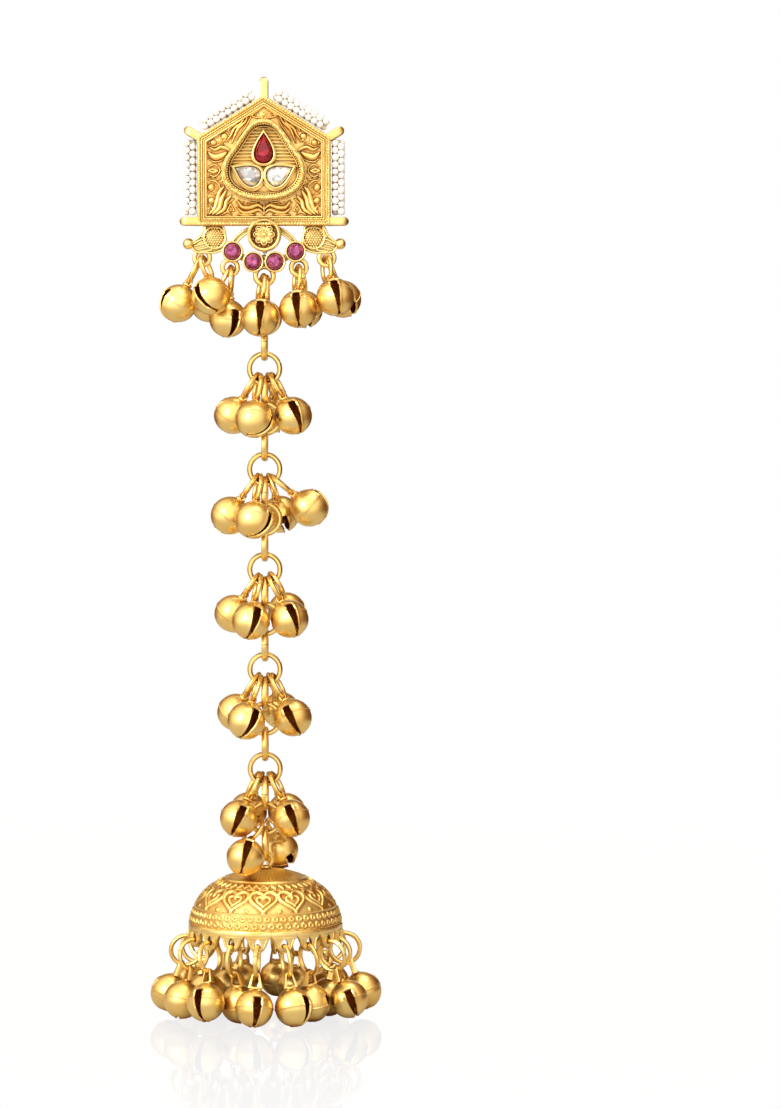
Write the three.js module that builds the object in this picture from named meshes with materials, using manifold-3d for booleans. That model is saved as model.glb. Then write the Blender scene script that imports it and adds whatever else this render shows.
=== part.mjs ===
// Long jhumka drop earring: a stone-set head on an ear post, a chain with clusters of
// small slotted bells, and a domed bell cup with a fringe of bells round its rim.
// Millimetres. +X is to the right seen from the front, +Y is back towards the ear, +Z is
// up. The origin is where the post comes out of the back of the head.
import * as THREE from 'three';
import { mergeVertices } from 'three/addons/utils/BufferGeometryUtils.js';
import Module from 'manifold-3d';

const wasm = await Module();
wasm.setup();

// ---- driving dimensions ----
const GAP = 0.12;                       // air between pieces that only touch

const HEAD = {
  halfWidth: 11.0, bottom: -15.0, shoulder: -0.4, apex: 6.4,
  field: -2.9, front: -3.6, border: 1.6,
};
const DROP_FRAME = { wall: 0.75, floor: -3.4, front: -6.3 };
const PEAR = { red: { x: 0, z: -2.3, w: 1.65, h: 2.5 }, clear: { x: 2.75, z: -6.6, w: 1.75, h: 2.35 } };
const BEZEL = { wall: 0.35, front: -4.9 };
const PINK = { r: 1.35, cup: 1.75, back: -0.8, front: -3.6 };
const ROSETTE = { z: -16.5, r: 2.8, back: -1.0, front: -3.9 };
const BIRD = { back: -1.1, front: -2.7, ballR: 0.9, ballX: 12.6, ballZ: -18.0 };
const UPPER_ARC = { z: -21.3, inner: 5.6, outer: 6.6, from: 28, to: 152, back: -1.2, front: -2.4 };
const LOWER_ARC = { z: -13.15, inner: 7.5, outer: 8.5, from: 222, to: 318, back: -1.2, front: -2.2 };
const BACK_RING = { r: 2.2, wire: 0.42, y: 0.75, z: -17.0 };
const CORNER_LOOP = { width: 1.4, across: 3.1, strip: 0.5, end: 0.6, y: -2.05 };
const PEARLS = { seed: 1.35, r: 1.15, y: -2.35 };
const LOOP_Y = -1.8;                    // the plane in which all drops hang
const POST = { r: 0.4, tip: 14.0, cup: 0.9, cupR: 1.0 };
const CLUTCH = {
  discR: 5.45, discFront: 2.2, discBack: 3.1, bore: 0.6, barrelFront: 3.25, barrelBack: 8.6,
};

const LINK = { r: 2.51, wire: 0.42, wide: 1.3 };  // chain ring: mean radius, wire radius, widening
const LINKS_PER_LENGTH = 4;
const CHAIN = { top: -26.0, pitch: 4.22, slack: 0.22, lengths: 5, last: 3 };

const BELL = { r: 3.15, drop: 7.7, slot: 1.3, slotTop: 1.3 };
const JUMP = { r: 2.2, wire: 0.3 };
const LINK_SLACK = 0.26;                // room between a jump ring and the ring it hangs on
const WASHER_SLACK = 0.38;              // more on the edges of a washer
const PIVOT_SLACK = 0.4;                // and on the wire that the main drop swings on

// The dome is half of a flattened ball: r is half its width and rise half its height.
const DOME = { r: 13.0, rise: 10.2, top: -121.7, rim: -131.1, wall: 0.6, eyeR: 1.15, eyeWire: 0.3 };
const RIM = { bells: 18, sectors: 6, firstAngle: -84, r: 12.9, band: 0.45, slack: -0.1 };
const RIM_TAB = {
  width: 3.5, wall: 0.8, top: -131.45, end: -134.3, holeW: 1.6, holeTop: -132.05, holeFloor: -133.45,
};
const RIM_HANGER = { ring: 2.5, drop: 9.9 };  // the rim's bells have wider rings and longer eyes

// The stones of the crescent under the head, and the washers that the drops hang from.
const PINK_STONES = [
  { x: -5.2, z: -19.3 }, { x: -1.8, z: -21.0 }, { x: 1.8, z: -21.0 }, { x: 5.2, z: -19.3 },
];
const WASHERS = {
  birdLeft: { x: -10.3, z: -20.3, hole: 0.85, rim: 1.65 },
  innerLeft: { x: -5.7, z: -21.9, hole: 0.85, rim: 1.65 },
  centre: { x: 0, z: -23.25, hole: 1.05, rim: 1.9 },
  innerRight: { x: 5.7, z: -21.9, hole: 0.85, rim: 1.65 },
  birdRight: { x: 10.3, z: -20.3, hole: 0.85, rim: 1.65 },
};

// Bells of the head. hang is the angle from the bottom of the washer's hole, x and y are
// where the bell's middle comes to, and slot is how far the bell is turned.
const HEAD_BELLS = [
  { name: 'outer_left', on: 'birdLeft', hang: -40, x: -14.3, y: -1.6, slot: -60 },
  { name: 'front_left', on: 'birdLeft', hang: 36, x: -8.6, y: -6.9, slot: -25 },
  { name: 'back_left', on: 'innerLeft', hang: -26, x: -9.4, y: 2.9, slot: 180 },
  { name: 'inner_left', on: 'innerLeft', hang: 24, x: -6.05, y: -1.9, slot: 28 },
  { name: 'centre', on: 'centre', hang: -26, x: -0.6, y: -6.6, slot: -14 },
  { name: 'inner_right', on: 'innerRight', hang: -22, x: 5.7, y: -6.5, slot: -20 },
  { name: 'back_right', on: 'innerRight', hang: 26, x: 6.5, y: 2.9, slot: 0 },
  { name: 'front_right', on: 'birdRight', hang: -20, x: 11.8, y: -6.6, slot: -15 },
  { name: 'outer_right', on: 'birdRight', hang: 28, x: 12.9, y: 2.5, slot: 20 },
];

// Bells of the chain, in clusters. link is the ring that they hang from, counted from 0.
const CHAIN_BELLS = [
  { name: '1_left', link: 3, hang: -47, x: -5.3, y: 0.5, slot: -85 },
  { name: '1_front', link: 3, hang: -29, x: -1.6, y: -6.0, slot: 62 },
  { name: '1_back', link: 3, hang: 29, x: 1.8, y: 3.3, slot: 0 },
  { name: '1_right', link: 3, hang: 47, x: 4.8, y: -4.8, slot: 25 },
  { name: '2_left', link: 7, hang: -47, x: -5.9, y: -0.8, slot: 75 },
  { name: '2_front', link: 7, hang: -29, x: -1.7, y: -6.0, slot: 50 },
  { name: '2_back', link: 7, hang: 29, x: 2.5, y: 3.0, slot: 0 },
  { name: '2_right', link: 7, hang: 47, x: 7.4, y: -2.0, slot: 80 },
  { name: '3_left', link: 11, hang: -47, x: -5.4, y: 0.9, slot: 85 },
  { name: '3_front', link: 11, hang: -29, x: -2.2, y: -5.8, slot: 7 },
  { name: '3_back', link: 11, hang: 47, x: 3.5, y: 2.9, slot: 0 },
  { name: '3_right', link: 11, hang: 29, x: 4.2, y: -5.1, slot: 22 },
  { name: '4_left', link: 15, hang: -47, x: -5.0, y: 1.5, slot: 80 },
  { name: '4_front', link: 15, hang: -29, x: -3.0, y: -5.6, slot: 18 },
  { name: '4_back', link: 15, hang: 29, x: 2.5, y: 3.4, slot: 0 },
  { name: '4_right', link: 15, hang: 47, x: 4.7, y: -4.8, slot: 5 },
  { name: '5_left', link: 19, hang: -45, x: -4.3, y: -5.0, slot: -10 },
  { name: '5_back_left', link: 19, hang: -29, x: -3.0, y: 3.0, slot: 40 },
  { name: '5_back_right', link: 19, hang: 29, x: 3.4, y: 2.7, slot: 0 },
  { name: '5_right', link: 19, hang: 45, x: 4.4, y: -5.0, slot: 18 },
  { name: '5_low_front', link: 21, hang: -55, x: -3.1, y: -7.8, slot: -35 },
  { name: '5_low_back', link: 21, hang: 50, x: 2.2, y: 4.2, slot: 0 },
];

// Bells of the rim, one to an eyelet, in order round the dome. angle and out place the
// bell's middle: the bells are wider than their spacing, so they stand in and out in turn.
const RIM_BELLS = [
  { angle: -88, out: 16.0, slot: -6 }, { angle: -58.5, out: 15.8, slot: -116 },
  { angle: -35, out: 16.4, slot: 17 }, { angle: -22, out: 10.6, slot: -141 },
  { angle: -5, out: 15.6, slot: 16 }, { angle: 19.5, out: 15.2, slot: 35 },
  { angle: 43, out: 11.4, slot: 40 }, { angle: 60, out: 16.2, slot: -49 },
  { angle: 78, out: 10.7, slot: 0 }, { angle: 92, out: 16.2, slot: 20 },
  { angle: 116, out: 11.0, slot: 60 }, { angle: 136, out: 15.5, slot: 0 },
  { angle: 155, out: 11.0, slot: 40 }, { angle: 174, out: 15.5, slot: 80 },
  { angle: 198, out: 15.5, slot: 30 }, { angle: 217, out: 11.0, slot: 0 },
  { angle: 236, out: 15.6, slot: 70 }, { angle: 254, out: 10.5, slot: 20 },
];

// ---- materials ----
const gold = () => new THREE.MeshStandardMaterial({ color: 0xe0b050, roughness: 0.38, metalness: 1 });
const steel = () => new THREE.MeshStandardMaterial({ color: 0xb9b8b4, roughness: 0.3, metalness: 1 });
const pearl = () => new THREE.MeshStandardMaterial({ color: 0xf4eedd, roughness: 0.35, metalness: 0 });
const redStone = () => new THREE.MeshStandardMaterial({ color: 0xb40f2e, roughness: 0.08, metalness: 0 });
const pinkStone = () => new THREE.MeshStandardMaterial({ color: 0xa8397f, roughness: 0.1, metalness: 0 });
const clearStone = () => new THREE.MeshStandardMaterial({ color: 0xe9eef0, roughness: 0.05, metalness: 0 });
const clearPlastic = () => new THREE.MeshStandardMaterial({ color: 0xf2f4f4, roughness: 0.15, metalness: 0 });

// ---- solids ----
// A closed geometry as a solid. Shared vertices are merged, faces that shrink to a line
// at a pole are dropped, and a shape that came out inside out is turned.
function toSolid(geometry) {
  const bare = geometry.clone();
  bare.deleteAttribute('normal');
  bare.deleteAttribute('uv');
  const merged = mergeVertices(bare, 1e-4);
  const index = merged.index.array;
  const position = merged.attributes.position;
  const [a, b, c] = [new THREE.Vector3(), new THREE.Vector3(), new THREE.Vector3()];
  const faces = [];
  let volume = 0;
  for (let i = 0; i < index.length; i += 3) {
    const [p, q, r] = [index[i], index[i + 1], index[i + 2]];
    if (p === q || q === r || r === p) continue;
    a.fromBufferAttribute(position, p);
    b.fromBufferAttribute(position, q);
    c.fromBufferAttribute(position, r);
    volume += a.dot(b.cross(c));
    faces.push([p, q, r]);
  }
  const turned = volume < 0 ? faces.map(([p, q, r]) => [p, r, q]) : faces;
  return new wasm.Manifold(new wasm.Mesh({
    numProp: 3,
    vertProperties: Float32Array.from(position.array),
    triVerts: Uint32Array.from(turned.flat()),
  }));
}

function join(...geometries) {
  let whole = toSolid(geometries[0]);
  for (const geometry of geometries.slice(1)) whole = whole.add(toSolid(geometry));
  return whole;
}

function toGeometry(solid) {
  const { vertProperties, triVerts } = solid.getMesh();
  const geometry = new THREE.BufferGeometry();
  geometry.setAttribute('position', new THREE.BufferAttribute(vertProperties, 3));
  geometry.setIndex(new THREE.BufferAttribute(triVerts, 1));
  geometry.computeVertexNormals();
  return geometry;
}

const earring = new THREE.Group();

function piece(name, solid, material) {
  const mesh = new THREE.Mesh(toGeometry(solid), material);
  mesh.name = name;
  earring.add(mesh);
  return mesh;
}

// A flat outline in the head's plane (x to the right, second coordinate up), as thick as
// from its back face to its front face.
function panel(shape, back, front, curveSegments = 6) {
  const flat = { depth: back - front, bevelEnabled: false, curveSegments };
  return new THREE.ExtrudeGeometry(shape, flat).rotateX(Math.PI / 2).translate(0, back, 0);
}

function outline(points) {
  return new THREE.Shape(points.map(([x, z]) => new THREE.Vector2(x, z)));
}

// A turned piece whose axis runs front to back. Each profile row is [radius, y].
function turnedOnY(profile, sides, x = 0, z = 0) {
  const points = profile.map(([r, y]) => new THREE.Vector2(r, y));
  return new THREE.LatheGeometry(points, sides).translate(x, 0, z);
}

// A flat washer in the head's plane.
function washer({ x, z, hole, rim }, thickness = 0.6) {
  const [back, front] = [LOOP_Y + thickness / 2, LOOP_Y - thickness / 2];
  return turnedOnY([[hole, front], [rim, front], [rim, back], [hole, back], [hole, front]], 12, x, z);
}

// ---- head ----
function housePoints(inset) {
  const { halfWidth, bottom, shoulder, apex } = HEAD;
  const w = halfWidth - inset;
  const roofSlope = (apex - shoulder) / halfWidth;
  const peak = apex - inset * Math.hypot(1, roofSlope);
  return [[-w, bottom + inset], [w, bottom + inset], [w, peak - w * roofSlope], [0, peak],
    [-w, peak - w * roofSlope]];
}

// The raised frame round the pear stones: a drop with a round top, straight flanks and a
// full bowl. inset moves the whole outline inwards.
function dropOutline(inset) {
  const shape = new THREE.Shape();
  const [top, waist, floor] = [2.4 - inset, 6.2 - inset, -10.9 + inset];
  shape.moveTo(0, top);
  shape.bezierCurveTo(-2.4, top, -3.4 + inset, -0.4, -waist, -3.9);
  shape.bezierCurveTo(-7.8 + inset, -6.8, -6.6 + inset, floor, 0, floor);
  shape.bezierCurveTo(6.6 - inset, floor, 7.8 - inset, -6.8, waist, -3.9);
  shape.bezierCurveTo(3.4 - inset, -0.4, 2.4, top, 0, top);
  return shape;
}

// A pear outline with its point up before it is turned about its own middle.
function pearOutline({ x, z, w, h }, turn, grow) {
  const sides = 14;
  const points = [];
  for (let i = 0; i < sides; i += 1) {
    const t = (2 * Math.PI * i) / sides;
    const px = -(w + grow) * Math.sin(t) * Math.sin(t / 2) ** 1.2 * 1.25;
    const pz = (h + grow) * Math.cos(t);
    const [cos, sin] = [Math.cos(turn), Math.sin(turn)];
    points.push([x + px * cos - pz * sin, z + px * sin + pz * cos]);
  }
  return outline(points);
}

const PEAR_TURN = THREE.MathUtils.degToRad(63);
const PEARS = [
  { name: 'pear_stone_red', stone: PEAR.red, turn: 0, material: redStone },
  {
    name: 'pear_stone_left',
    stone: { ...PEAR.clear, x: -PEAR.clear.x },
    turn: PEAR_TURN,
    material: clearStone,
  },
  { name: 'pear_stone_right', stone: PEAR.clear, turn: -PEAR_TURN, material: clearStone },
];

// A U-shaped loop of flat strip that holds the end of a pearl string. It stands out from
// a corner of the head in the direction of its angle.
function cornerLoop(x, z, degrees, reach) {
  const { width, across, strip, end, y } = CORNER_LOOP;
  const bar = new THREE.BoxGeometry(reach, across, width);
  const hole = new THREE.BoxGeometry(reach - strip - end, across - 2 * strip, 2 * width);
  const loop = toSolid(bar).subtract(toSolid(hole));
  const geometry = toGeometry(loop).translate(reach / 2, 0, 0);
  const turn = new THREE.Matrix4().makeRotationY(-THREE.MathUtils.degToRad(degrees));
  return geometry.applyMatrix4(turn).translate(x, y, z);
}

function bird(side) {
  const body = [[-9.7, -14.6], [-10.7, -16.8], [-11.6, -17.7], [-12.1, -18.6], [-11.3, -19.5],
    [-8.4, -19.5], [-7.0, -19.1], [-6.3, -18.2], [-6.3, -17.0], [-7.0, -14.6]];
  const points = body.map(([x, z]) => [side * -x, z]);
  const ball = new THREE.SphereGeometry(BIRD.ballR, 8, 5);
  ball.translate(side * BIRD.ballX, (BIRD.back + BIRD.front) / 2, BIRD.ballZ);
  return [panel(outline(points), BIRD.back, BIRD.front), ball];
}

function arcBand({ z, inner, outer, from, to, back, front }) {
  const shape = new THREE.Shape();
  const [start, end] = [THREE.MathUtils.degToRad(from), THREE.MathUtils.degToRad(to)];
  shape.absarc(0, z, outer, start, end, false);
  shape.absarc(0, z, inner, end, start, true);
  return panel(shape, back, front, 8);
}

function headPlate() {
  const border = outline(housePoints(0));
  border.holes.push(outline(housePoints(HEAD.border)));
  const frame = dropOutline(0);
  frame.holes.push(dropOutline(DROP_FRAME.wall));
  const { r, cup, back, front } = PINK;
  const pinkCup = [[0, back], [cup, back], [cup, front], [r + GAP, front], [r + GAP, front + 0.9],
    [0, front + 0.9]];
  const { r: rose, back: roseBack, front: roseFront } = ROSETTE;
  const rosette = [[0, roseBack], [rose, roseBack], [rose, roseFront], [rose - 0.6, roseFront],
    [rose - 0.9, roseFront + 0.8], [0, roseFront + 0.8]];
  const { cupR, cup: cupEnd } = POST;
  const solderCup = [[0, -0.5], [cupR, -0.5], [cupR, cupEnd - 0.2], [cupR - 0.3, cupEnd], [0, cupEnd]];
  const backRing = new THREE.TorusGeometry(BACK_RING.r, BACK_RING.wire, 5, 12);
  const parts = [
    panel(outline(housePoints(0)), 0, HEAD.field),
    panel(border, -0.1, HEAD.front),
    panel(frame, HEAD.field + 0.2, DROP_FRAME.front),
    panel(dropOutline(0.2), HEAD.field + 0.2, DROP_FRAME.floor),
    turnedOnY(rosette, 16, 0, ROSETTE.z),
    turnedOnY(solderCup, 10),
    arcBand(UPPER_ARC),
    arcBand(LOWER_ARC),
    backRing.rotateY(Math.PI / 2).translate(0, BACK_RING.y, BACK_RING.z),
    ...bird(-1), ...bird(1),
    ...PINK_STONES.map(({ x, z }) => turnedOnY(pinkCup, 10, x, z)),
    ...Object.values(WASHERS).map((at) => washer(at)),
    cornerLoop(0, HEAD.apex - 0.6, 90, 3.7),
    cornerLoop(HEAD.halfWidth - 0.5, HEAD.shoulder - 0.2, 31, 3.1),
    cornerLoop(-HEAD.halfWidth + 0.5, HEAD.shoulder - 0.2, 149, 3.1),
    cornerLoop(HEAD.halfWidth - 0.5, HEAD.bottom + 0.7, 0, 3.5),
    cornerLoop(-HEAD.halfWidth + 0.5, HEAD.bottom + 0.7, 180, 3.5),
  ];
  for (const { stone, turn } of PEARS) {
    const bezel = pearOutline(stone, turn, GAP + BEZEL.wall);
    bezel.holes.push(pearOutline(stone, turn, GAP));
    parts.push(panel(bezel, DROP_FRAME.floor + 0.2, BEZEL.front));
  }
  return join(...parts);
}

piece('head_plate', headPlate(), gold());

for (const { name, stone, turn, material } of PEARS) {
  const girdle = panel(pearOutline(stone, turn, 0), DROP_FRAME.floor - 0.3, -4.6);
  const crown = panel(pearOutline(stone, turn, -0.5), -4.5, -5.3);
  piece(name, join(girdle, crown), material());
}

PINK_STONES.forEach(({ x, z }, i) => {
  const cut = [[0, -3.0], [1.1, -3.0], [PINK.r, -3.4], [PINK.r - 0.1, -3.7], [0.7, -4.3], [0, -4.3]];
  piece(`pink_stone_${i + 1}`, join(turnedOnY(cut, 10, x, z)), pinkStone());
});

// Seed pearls on a thread: one beaded tube along each side of the head.
function pearlString(from, to) {
  const { seed, r } = PEARLS;
  const run = to.clone().sub(from);
  const beads = Math.round(run.length() / seed);
  const points = [new THREE.Vector2(0, 0)];
  for (let i = 0; i < beads; i += 1) {
    const step = run.length() / beads;
    points.push(new THREE.Vector2(r * 0.72, (i + 0.08) * step), new THREE.Vector2(r, (i + 0.5) * step));
  }
  points.push(new THREE.Vector2(0, run.length()));
  const turn = new THREE.Quaternion().setFromUnitVectors(new THREE.Vector3(0, 1, 0), run.normalize());
  return new THREE.LatheGeometry(points, 6).applyQuaternion(turn).translate(from.x, from.y, from.z);
}

const STRING_LIFT = PEARLS.r + GAP;
const SIDE_X = HEAD.halfWidth + STRING_LIFT;
const ROOF = new THREE.Vector2(HEAD.halfWidth, HEAD.shoulder - HEAD.apex).normalize();
[-1, 1].forEach((side, i) => {
  const low = new THREE.Vector3(side * SIDE_X, PEARLS.y, HEAD.bottom + 1.75);
  const high = new THREE.Vector3(side * SIDE_X, PEARLS.y, HEAD.shoulder - 0.45);
  piece(`pearl_string_${i + 1}`, join(pearlString(low, high)), pearl());
  const out = -ROOF.y * STRING_LIFT;
  const rise = ROOF.x * STRING_LIFT;
  const eave = { x: HEAD.halfWidth - 1.2 + out, z: HEAD.shoulder + 0.75 + rise };
  const ridge = { x: 1.15 + out, z: HEAD.apex - 0.7 + rise };
  const foot = new THREE.Vector3(side * eave.x, PEARLS.y, eave.z);
  const peak = new THREE.Vector3(side * ridge.x, PEARLS.y, ridge.z);
  piece(`pearl_string_${i + 3}`, join(pearlString(foot, peak)), pearl());
});

// ---- ear post and its clutch ----
const postFoot = POST.cup + GAP;
const postProfile = [[0, postFoot], [POST.r, postFoot], [POST.r, POST.tip - 0.6], [0.12, POST.tip],
  [0, POST.tip]];
piece('ear_post', join(turnedOnY(postProfile, 10)), steel());

const { bore, discR, discFront, discBack, barrelFront, barrelBack } = CLUTCH;
const discProfile = [[bore, discFront], [discR - 0.2, discFront], [discR, discFront + 0.3],
  [discR, discBack], [bore, discBack], [bore, discFront]];
piece('clutch_disc', join(turnedOnY(discProfile, 20)), clearPlastic());

const barrelProfile = [[bore, barrelFront], [2.75, barrelFront], [2.75, 3.6], [1.8, 4.4], [1.8, 7.2],
  [1.2, 7.6], [1.35, 8.0], [1.35, barrelBack], [bore, barrelBack], [bore, barrelFront]];
piece('clutch_barrel', join(turnedOnY(barrelProfile, 12)), gold());

// ---- chain ----
// Rings of one length are joined where they bear on each other; the lengths are linked
// but kept a hair apart, and the last one belongs to the swinging drop.
const linkZ = (i) => CHAIN.top - CHAIN.pitch * i + CHAIN.slack * Math.floor(i / LINKS_PER_LENGTH);

function chainLink(i) {
  const ring = new THREE.TorusGeometry(LINK.r, LINK.wire, 4, 12);
  const facesFront = i % 2 === 1;
  if (i > 0) ring.scale(1, 1, LINK.wide);
  const placed = facesFront ? ring.rotateX(Math.PI / 2) : ring.rotateY(Math.PI / 2);
  return placed.translate(i === 0 ? 0.45 : 0, LOOP_Y, linkZ(i));
}

function chainLength(first, count) {
  return join(...Array.from({ length: count }, (_, i) => chainLink(first + i)));
}

for (let i = 0; i < CHAIN.lengths; i += 1) {
  piece(`chain_${i + 1}`, chainLength(i * LINKS_PER_LENGTH, LINKS_PER_LENGTH), gold());
}
piece('chain_drop', chainLength(CHAIN.lengths * LINKS_PER_LENGTH, CHAIN.last), gold());

// ---- bells ----
// A slotted bell with its folded eye and the jump ring it hangs by. The local origin is
// the point of the carrier that the jump ring rests on, and the bell hangs down -Z.
function bellAndRing(slot, slack, ringR, drop) {
  const ringTop = JUMP.wire + slack;
  const ring = new THREE.TorusGeometry(ringR, JUMP.wire, 3, 8).rotateZ(Math.PI / 2);
  ring.rotateY(Math.PI / 2).translate(0, 0, ringTop - ringR);
  const { r, slotTop } = BELL;
  const profile = [[0, -r], [0.76 * r, -0.66 * r], [r, 0.05 * r], [0.68 * r, 0.75 * r], [0, r]]
    .map(([x, y]) => new THREE.Vector2(x, y));
  const body = new THREE.LatheGeometry(profile, 8).rotateX(Math.PI / 2);
  const cleft = new THREE.BoxGeometry(BELL.slot, 2 * r, 2 * r).translate(0, -0.7 * r, slotTop - r);
  const turn = THREE.MathUtils.degToRad(slot);
  const slotted = toSolid(body).subtract(toSolid(cleft));
  const bell = toGeometry(slotted).rotateZ(turn).translate(0, 0, -drop);
  const eyeTop = ringTop - 2 * ringR + 0.5;
  const eyeEnd = -drop + 0.85 * r;
  const eye = new THREE.BoxGeometry(0.8, 1.2, eyeTop - eyeEnd).translate(0, 0, (eyeTop + eyeEnd) / 2);
  return join(ring, eye, bell);
}

// Where a bell hangs: the point that carries it, and the turn that brings local -Z onto
// the line to the bell's middle while the jump ring stays square to the wire.
function hanging(at, along, x, y, drop) {
  const reach = Math.hypot(x - at.x, y - at.y);
  const down = new THREE.Vector3(x - at.x, y - at.y, -Math.sqrt(drop ** 2 - reach ** 2)).normalize();
  const axis = along.clone().addScaledVector(down, -along.dot(down)).normalize();
  const up = down.clone().negate();
  const side = up.clone().cross(axis);
  return new THREE.Matrix4().makeBasis(axis, side, up).setPosition(at);
}

// A point on the inside of a ring that faces the front, and the direction of its wire.
function onRing(x, z, holeR, degrees) {
  const a = THREE.MathUtils.degToRad(degrees);
  return {
    at: new THREE.Vector3(x + holeR * Math.sin(a), LOOP_Y, z - holeR * Math.cos(a)),
    along: new THREE.Vector3(Math.cos(a), 0, Math.sin(a)),
  };
}

function hangBell(name, { at, along }, { x, y, slot }, slack) {
  const mesh = piece(name, bellAndRing(slot, slack, JUMP.r, BELL.drop), gold());
  mesh.applyMatrix4(hanging(at, along, x, y, BELL.drop));
}

for (const bell of HEAD_BELLS) {
  const { x, z, hole } = WASHERS[bell.on];
  hangBell(`head_bell_${bell.name}`, onRing(x, z, hole, bell.hang), bell, WASHER_SLACK);
}

for (const bell of CHAIN_BELLS) {
  const onPivot = bell.link >= CHAIN.lengths * LINKS_PER_LENGTH - 1;
  const slack = onPivot ? PIVOT_SLACK : LINK_SLACK;
  const carrier = onRing(0, linkZ(bell.link), LINK.r - LINK.wire, bell.hang);
  hangBell(`chain_bell_${bell.name}`, carrier, bell, slack);
}

// ---- dome ----
function domeProfile(r, top, sections) {
  const centre = DOME.top - DOME.rise;
  const last = Math.acos((DOME.rim - centre) / DOME.rise);
  return Array.from({ length: sections + 1 }, (_, i) => {
    const a = (last * i) / sections;
    return [r * Math.sin(a), i === sections ? DOME.rim : centre + (top - centre) * Math.cos(a)];
  });
}

function dome() {
  const outer = domeProfile(DOME.r, DOME.top, 7);
  const inner = domeProfile(DOME.r - DOME.wall, DOME.top - DOME.wall, 6);
  const profile = [...outer, ...inner.reverse()].map(([r, z]) => new THREE.Vector2(r, z));
  const shell = new THREE.LatheGeometry(profile, 24).rotateX(Math.PI / 2).translate(0, LOOP_Y, 0);
  const eye = new THREE.TorusGeometry(DOME.eyeR, DOME.eyeWire, 4, 10).rotateX(Math.PI / 2);
  const lastLink = linkZ(CHAIN.lengths * LINKS_PER_LENGTH + CHAIN.last - 1);
  const eyeZ = lastLink - LINK.r + LINK.wire + DOME.eyeWire + GAP - DOME.eyeR;
  return join(shell, eye.translate(0, LOOP_Y, eyeZ));
}

piece('jhumka_dome', dome(), gold());

// The rim's eyelets with the bells that hang from them, three to a length.
function aroundDome(degrees, r, z) {
  const a = THREE.MathUtils.degToRad(degrees);
  return new THREE.Vector3(r * Math.sin(a), LOOP_Y - r * Math.cos(a), z);
}

function rimTab(degrees) {
  const { width, wall, top, end, holeW, holeTop, holeFloor } = RIM_TAB;
  const tab = new THREE.BoxGeometry(width, wall, top - end).translate(0, 0, (top + end) / 2);
  const hole = new THREE.BoxGeometry(holeW, 4 * wall, holeTop - holeFloor);
  const open = toSolid(tab).subtract(toSolid(hole.translate(0, 0, (holeTop + holeFloor) / 2)));
  const centre = aroundDome(degrees, RIM.r - wall / 2, 0);
  const turn = THREE.MathUtils.degToRad(degrees);
  return toGeometry(open).rotateZ(turn).translate(centre.x, centre.y, 0);
}

function rimStrip(degrees, span) {
  const strip = new THREE.Shape();
  const [start, end] = [-90 - span / 2, -90 + span / 2].map(THREE.MathUtils.degToRad);
  strip.absarc(0, 0, RIM.r, start, end, false);
  strip.absarc(0, 0, RIM.r - RIM_TAB.wall, end, start, true);
  const band = new THREE.ExtrudeGeometry(strip, { depth: RIM.band, bevelEnabled: false, curveSegments: 3 });
  return band.rotateZ(THREE.MathUtils.degToRad(degrees)).translate(0, LOOP_Y, RIM_TAB.top - RIM.band);
}

function rimBell(loop) {
  const { angle, out, slot } = RIM_BELLS[loop];
  const loopAngle = RIM.firstAngle + (360 / RIM.bells) * loop;
  const at = aroundDome(loopAngle, RIM.r - RIM_TAB.wall / 2, RIM_TAB.holeFloor);
  const turn = THREE.MathUtils.degToRad(loopAngle);
  const along = new THREE.Vector3(Math.cos(turn), Math.sin(turn), 0);
  const middle = aroundDome(angle, out, 0);
  const { ring, drop } = RIM_HANGER;
  const bell = toGeometry(bellAndRing(slot, RIM.slack, ring, drop));
  return bell.applyMatrix4(hanging(at, along, middle.x, middle.y, drop));
}

const perSector = RIM.bells / RIM.sectors;
for (let s = 0; s < RIM.sectors; s += 1) {
  const loops = Array.from({ length: perSector }, (_, k) => s * perSector + k);
  const angles = loops.map((loop) => RIM.firstAngle + (360 / RIM.bells) * loop);
  const strip = rimStrip(angles[1], 360 / RIM.sectors - 1.5);
  piece(`rim_bells_${s + 1}`, join(strip, ...angles.map(rimTab), ...loops.map(rimBell)), gold());
}

export default earring;
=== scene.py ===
import math

import bpy
import numpy as np
from mathutils import Matrix, Vector


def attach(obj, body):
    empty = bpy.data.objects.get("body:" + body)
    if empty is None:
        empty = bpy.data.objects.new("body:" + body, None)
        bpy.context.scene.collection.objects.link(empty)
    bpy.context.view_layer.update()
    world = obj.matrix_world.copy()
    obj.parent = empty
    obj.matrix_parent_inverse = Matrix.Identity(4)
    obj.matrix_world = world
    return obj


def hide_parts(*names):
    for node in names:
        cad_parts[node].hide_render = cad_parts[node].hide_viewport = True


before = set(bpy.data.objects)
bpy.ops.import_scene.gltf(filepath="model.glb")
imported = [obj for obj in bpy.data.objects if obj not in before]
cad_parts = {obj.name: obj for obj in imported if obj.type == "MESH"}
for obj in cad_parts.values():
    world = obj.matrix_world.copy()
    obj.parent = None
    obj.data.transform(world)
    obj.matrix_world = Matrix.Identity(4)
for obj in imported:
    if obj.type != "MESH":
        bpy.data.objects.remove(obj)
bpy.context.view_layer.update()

# ---- Head plate ----
# A stamped brass plate in the shape of a gabled house, gilt and then darkened in its hollows, partly as
# patina and partly as painted shade.
# Its ground carries a raised pattern of leaves and balls inside a flat border with two ropes.
# Everything is shaped in millimetres and brought to metres when it is put on its body.

HEAD = {"half": 11.0, "bottom": -15.0, "shoulder": -0.4, "apex": 6.4, "ground": -2.9, "front": -3.6,
        "border": 1.6}
# Points that are nearer together than this are one.
SAME_POINT = 0.0005


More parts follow.
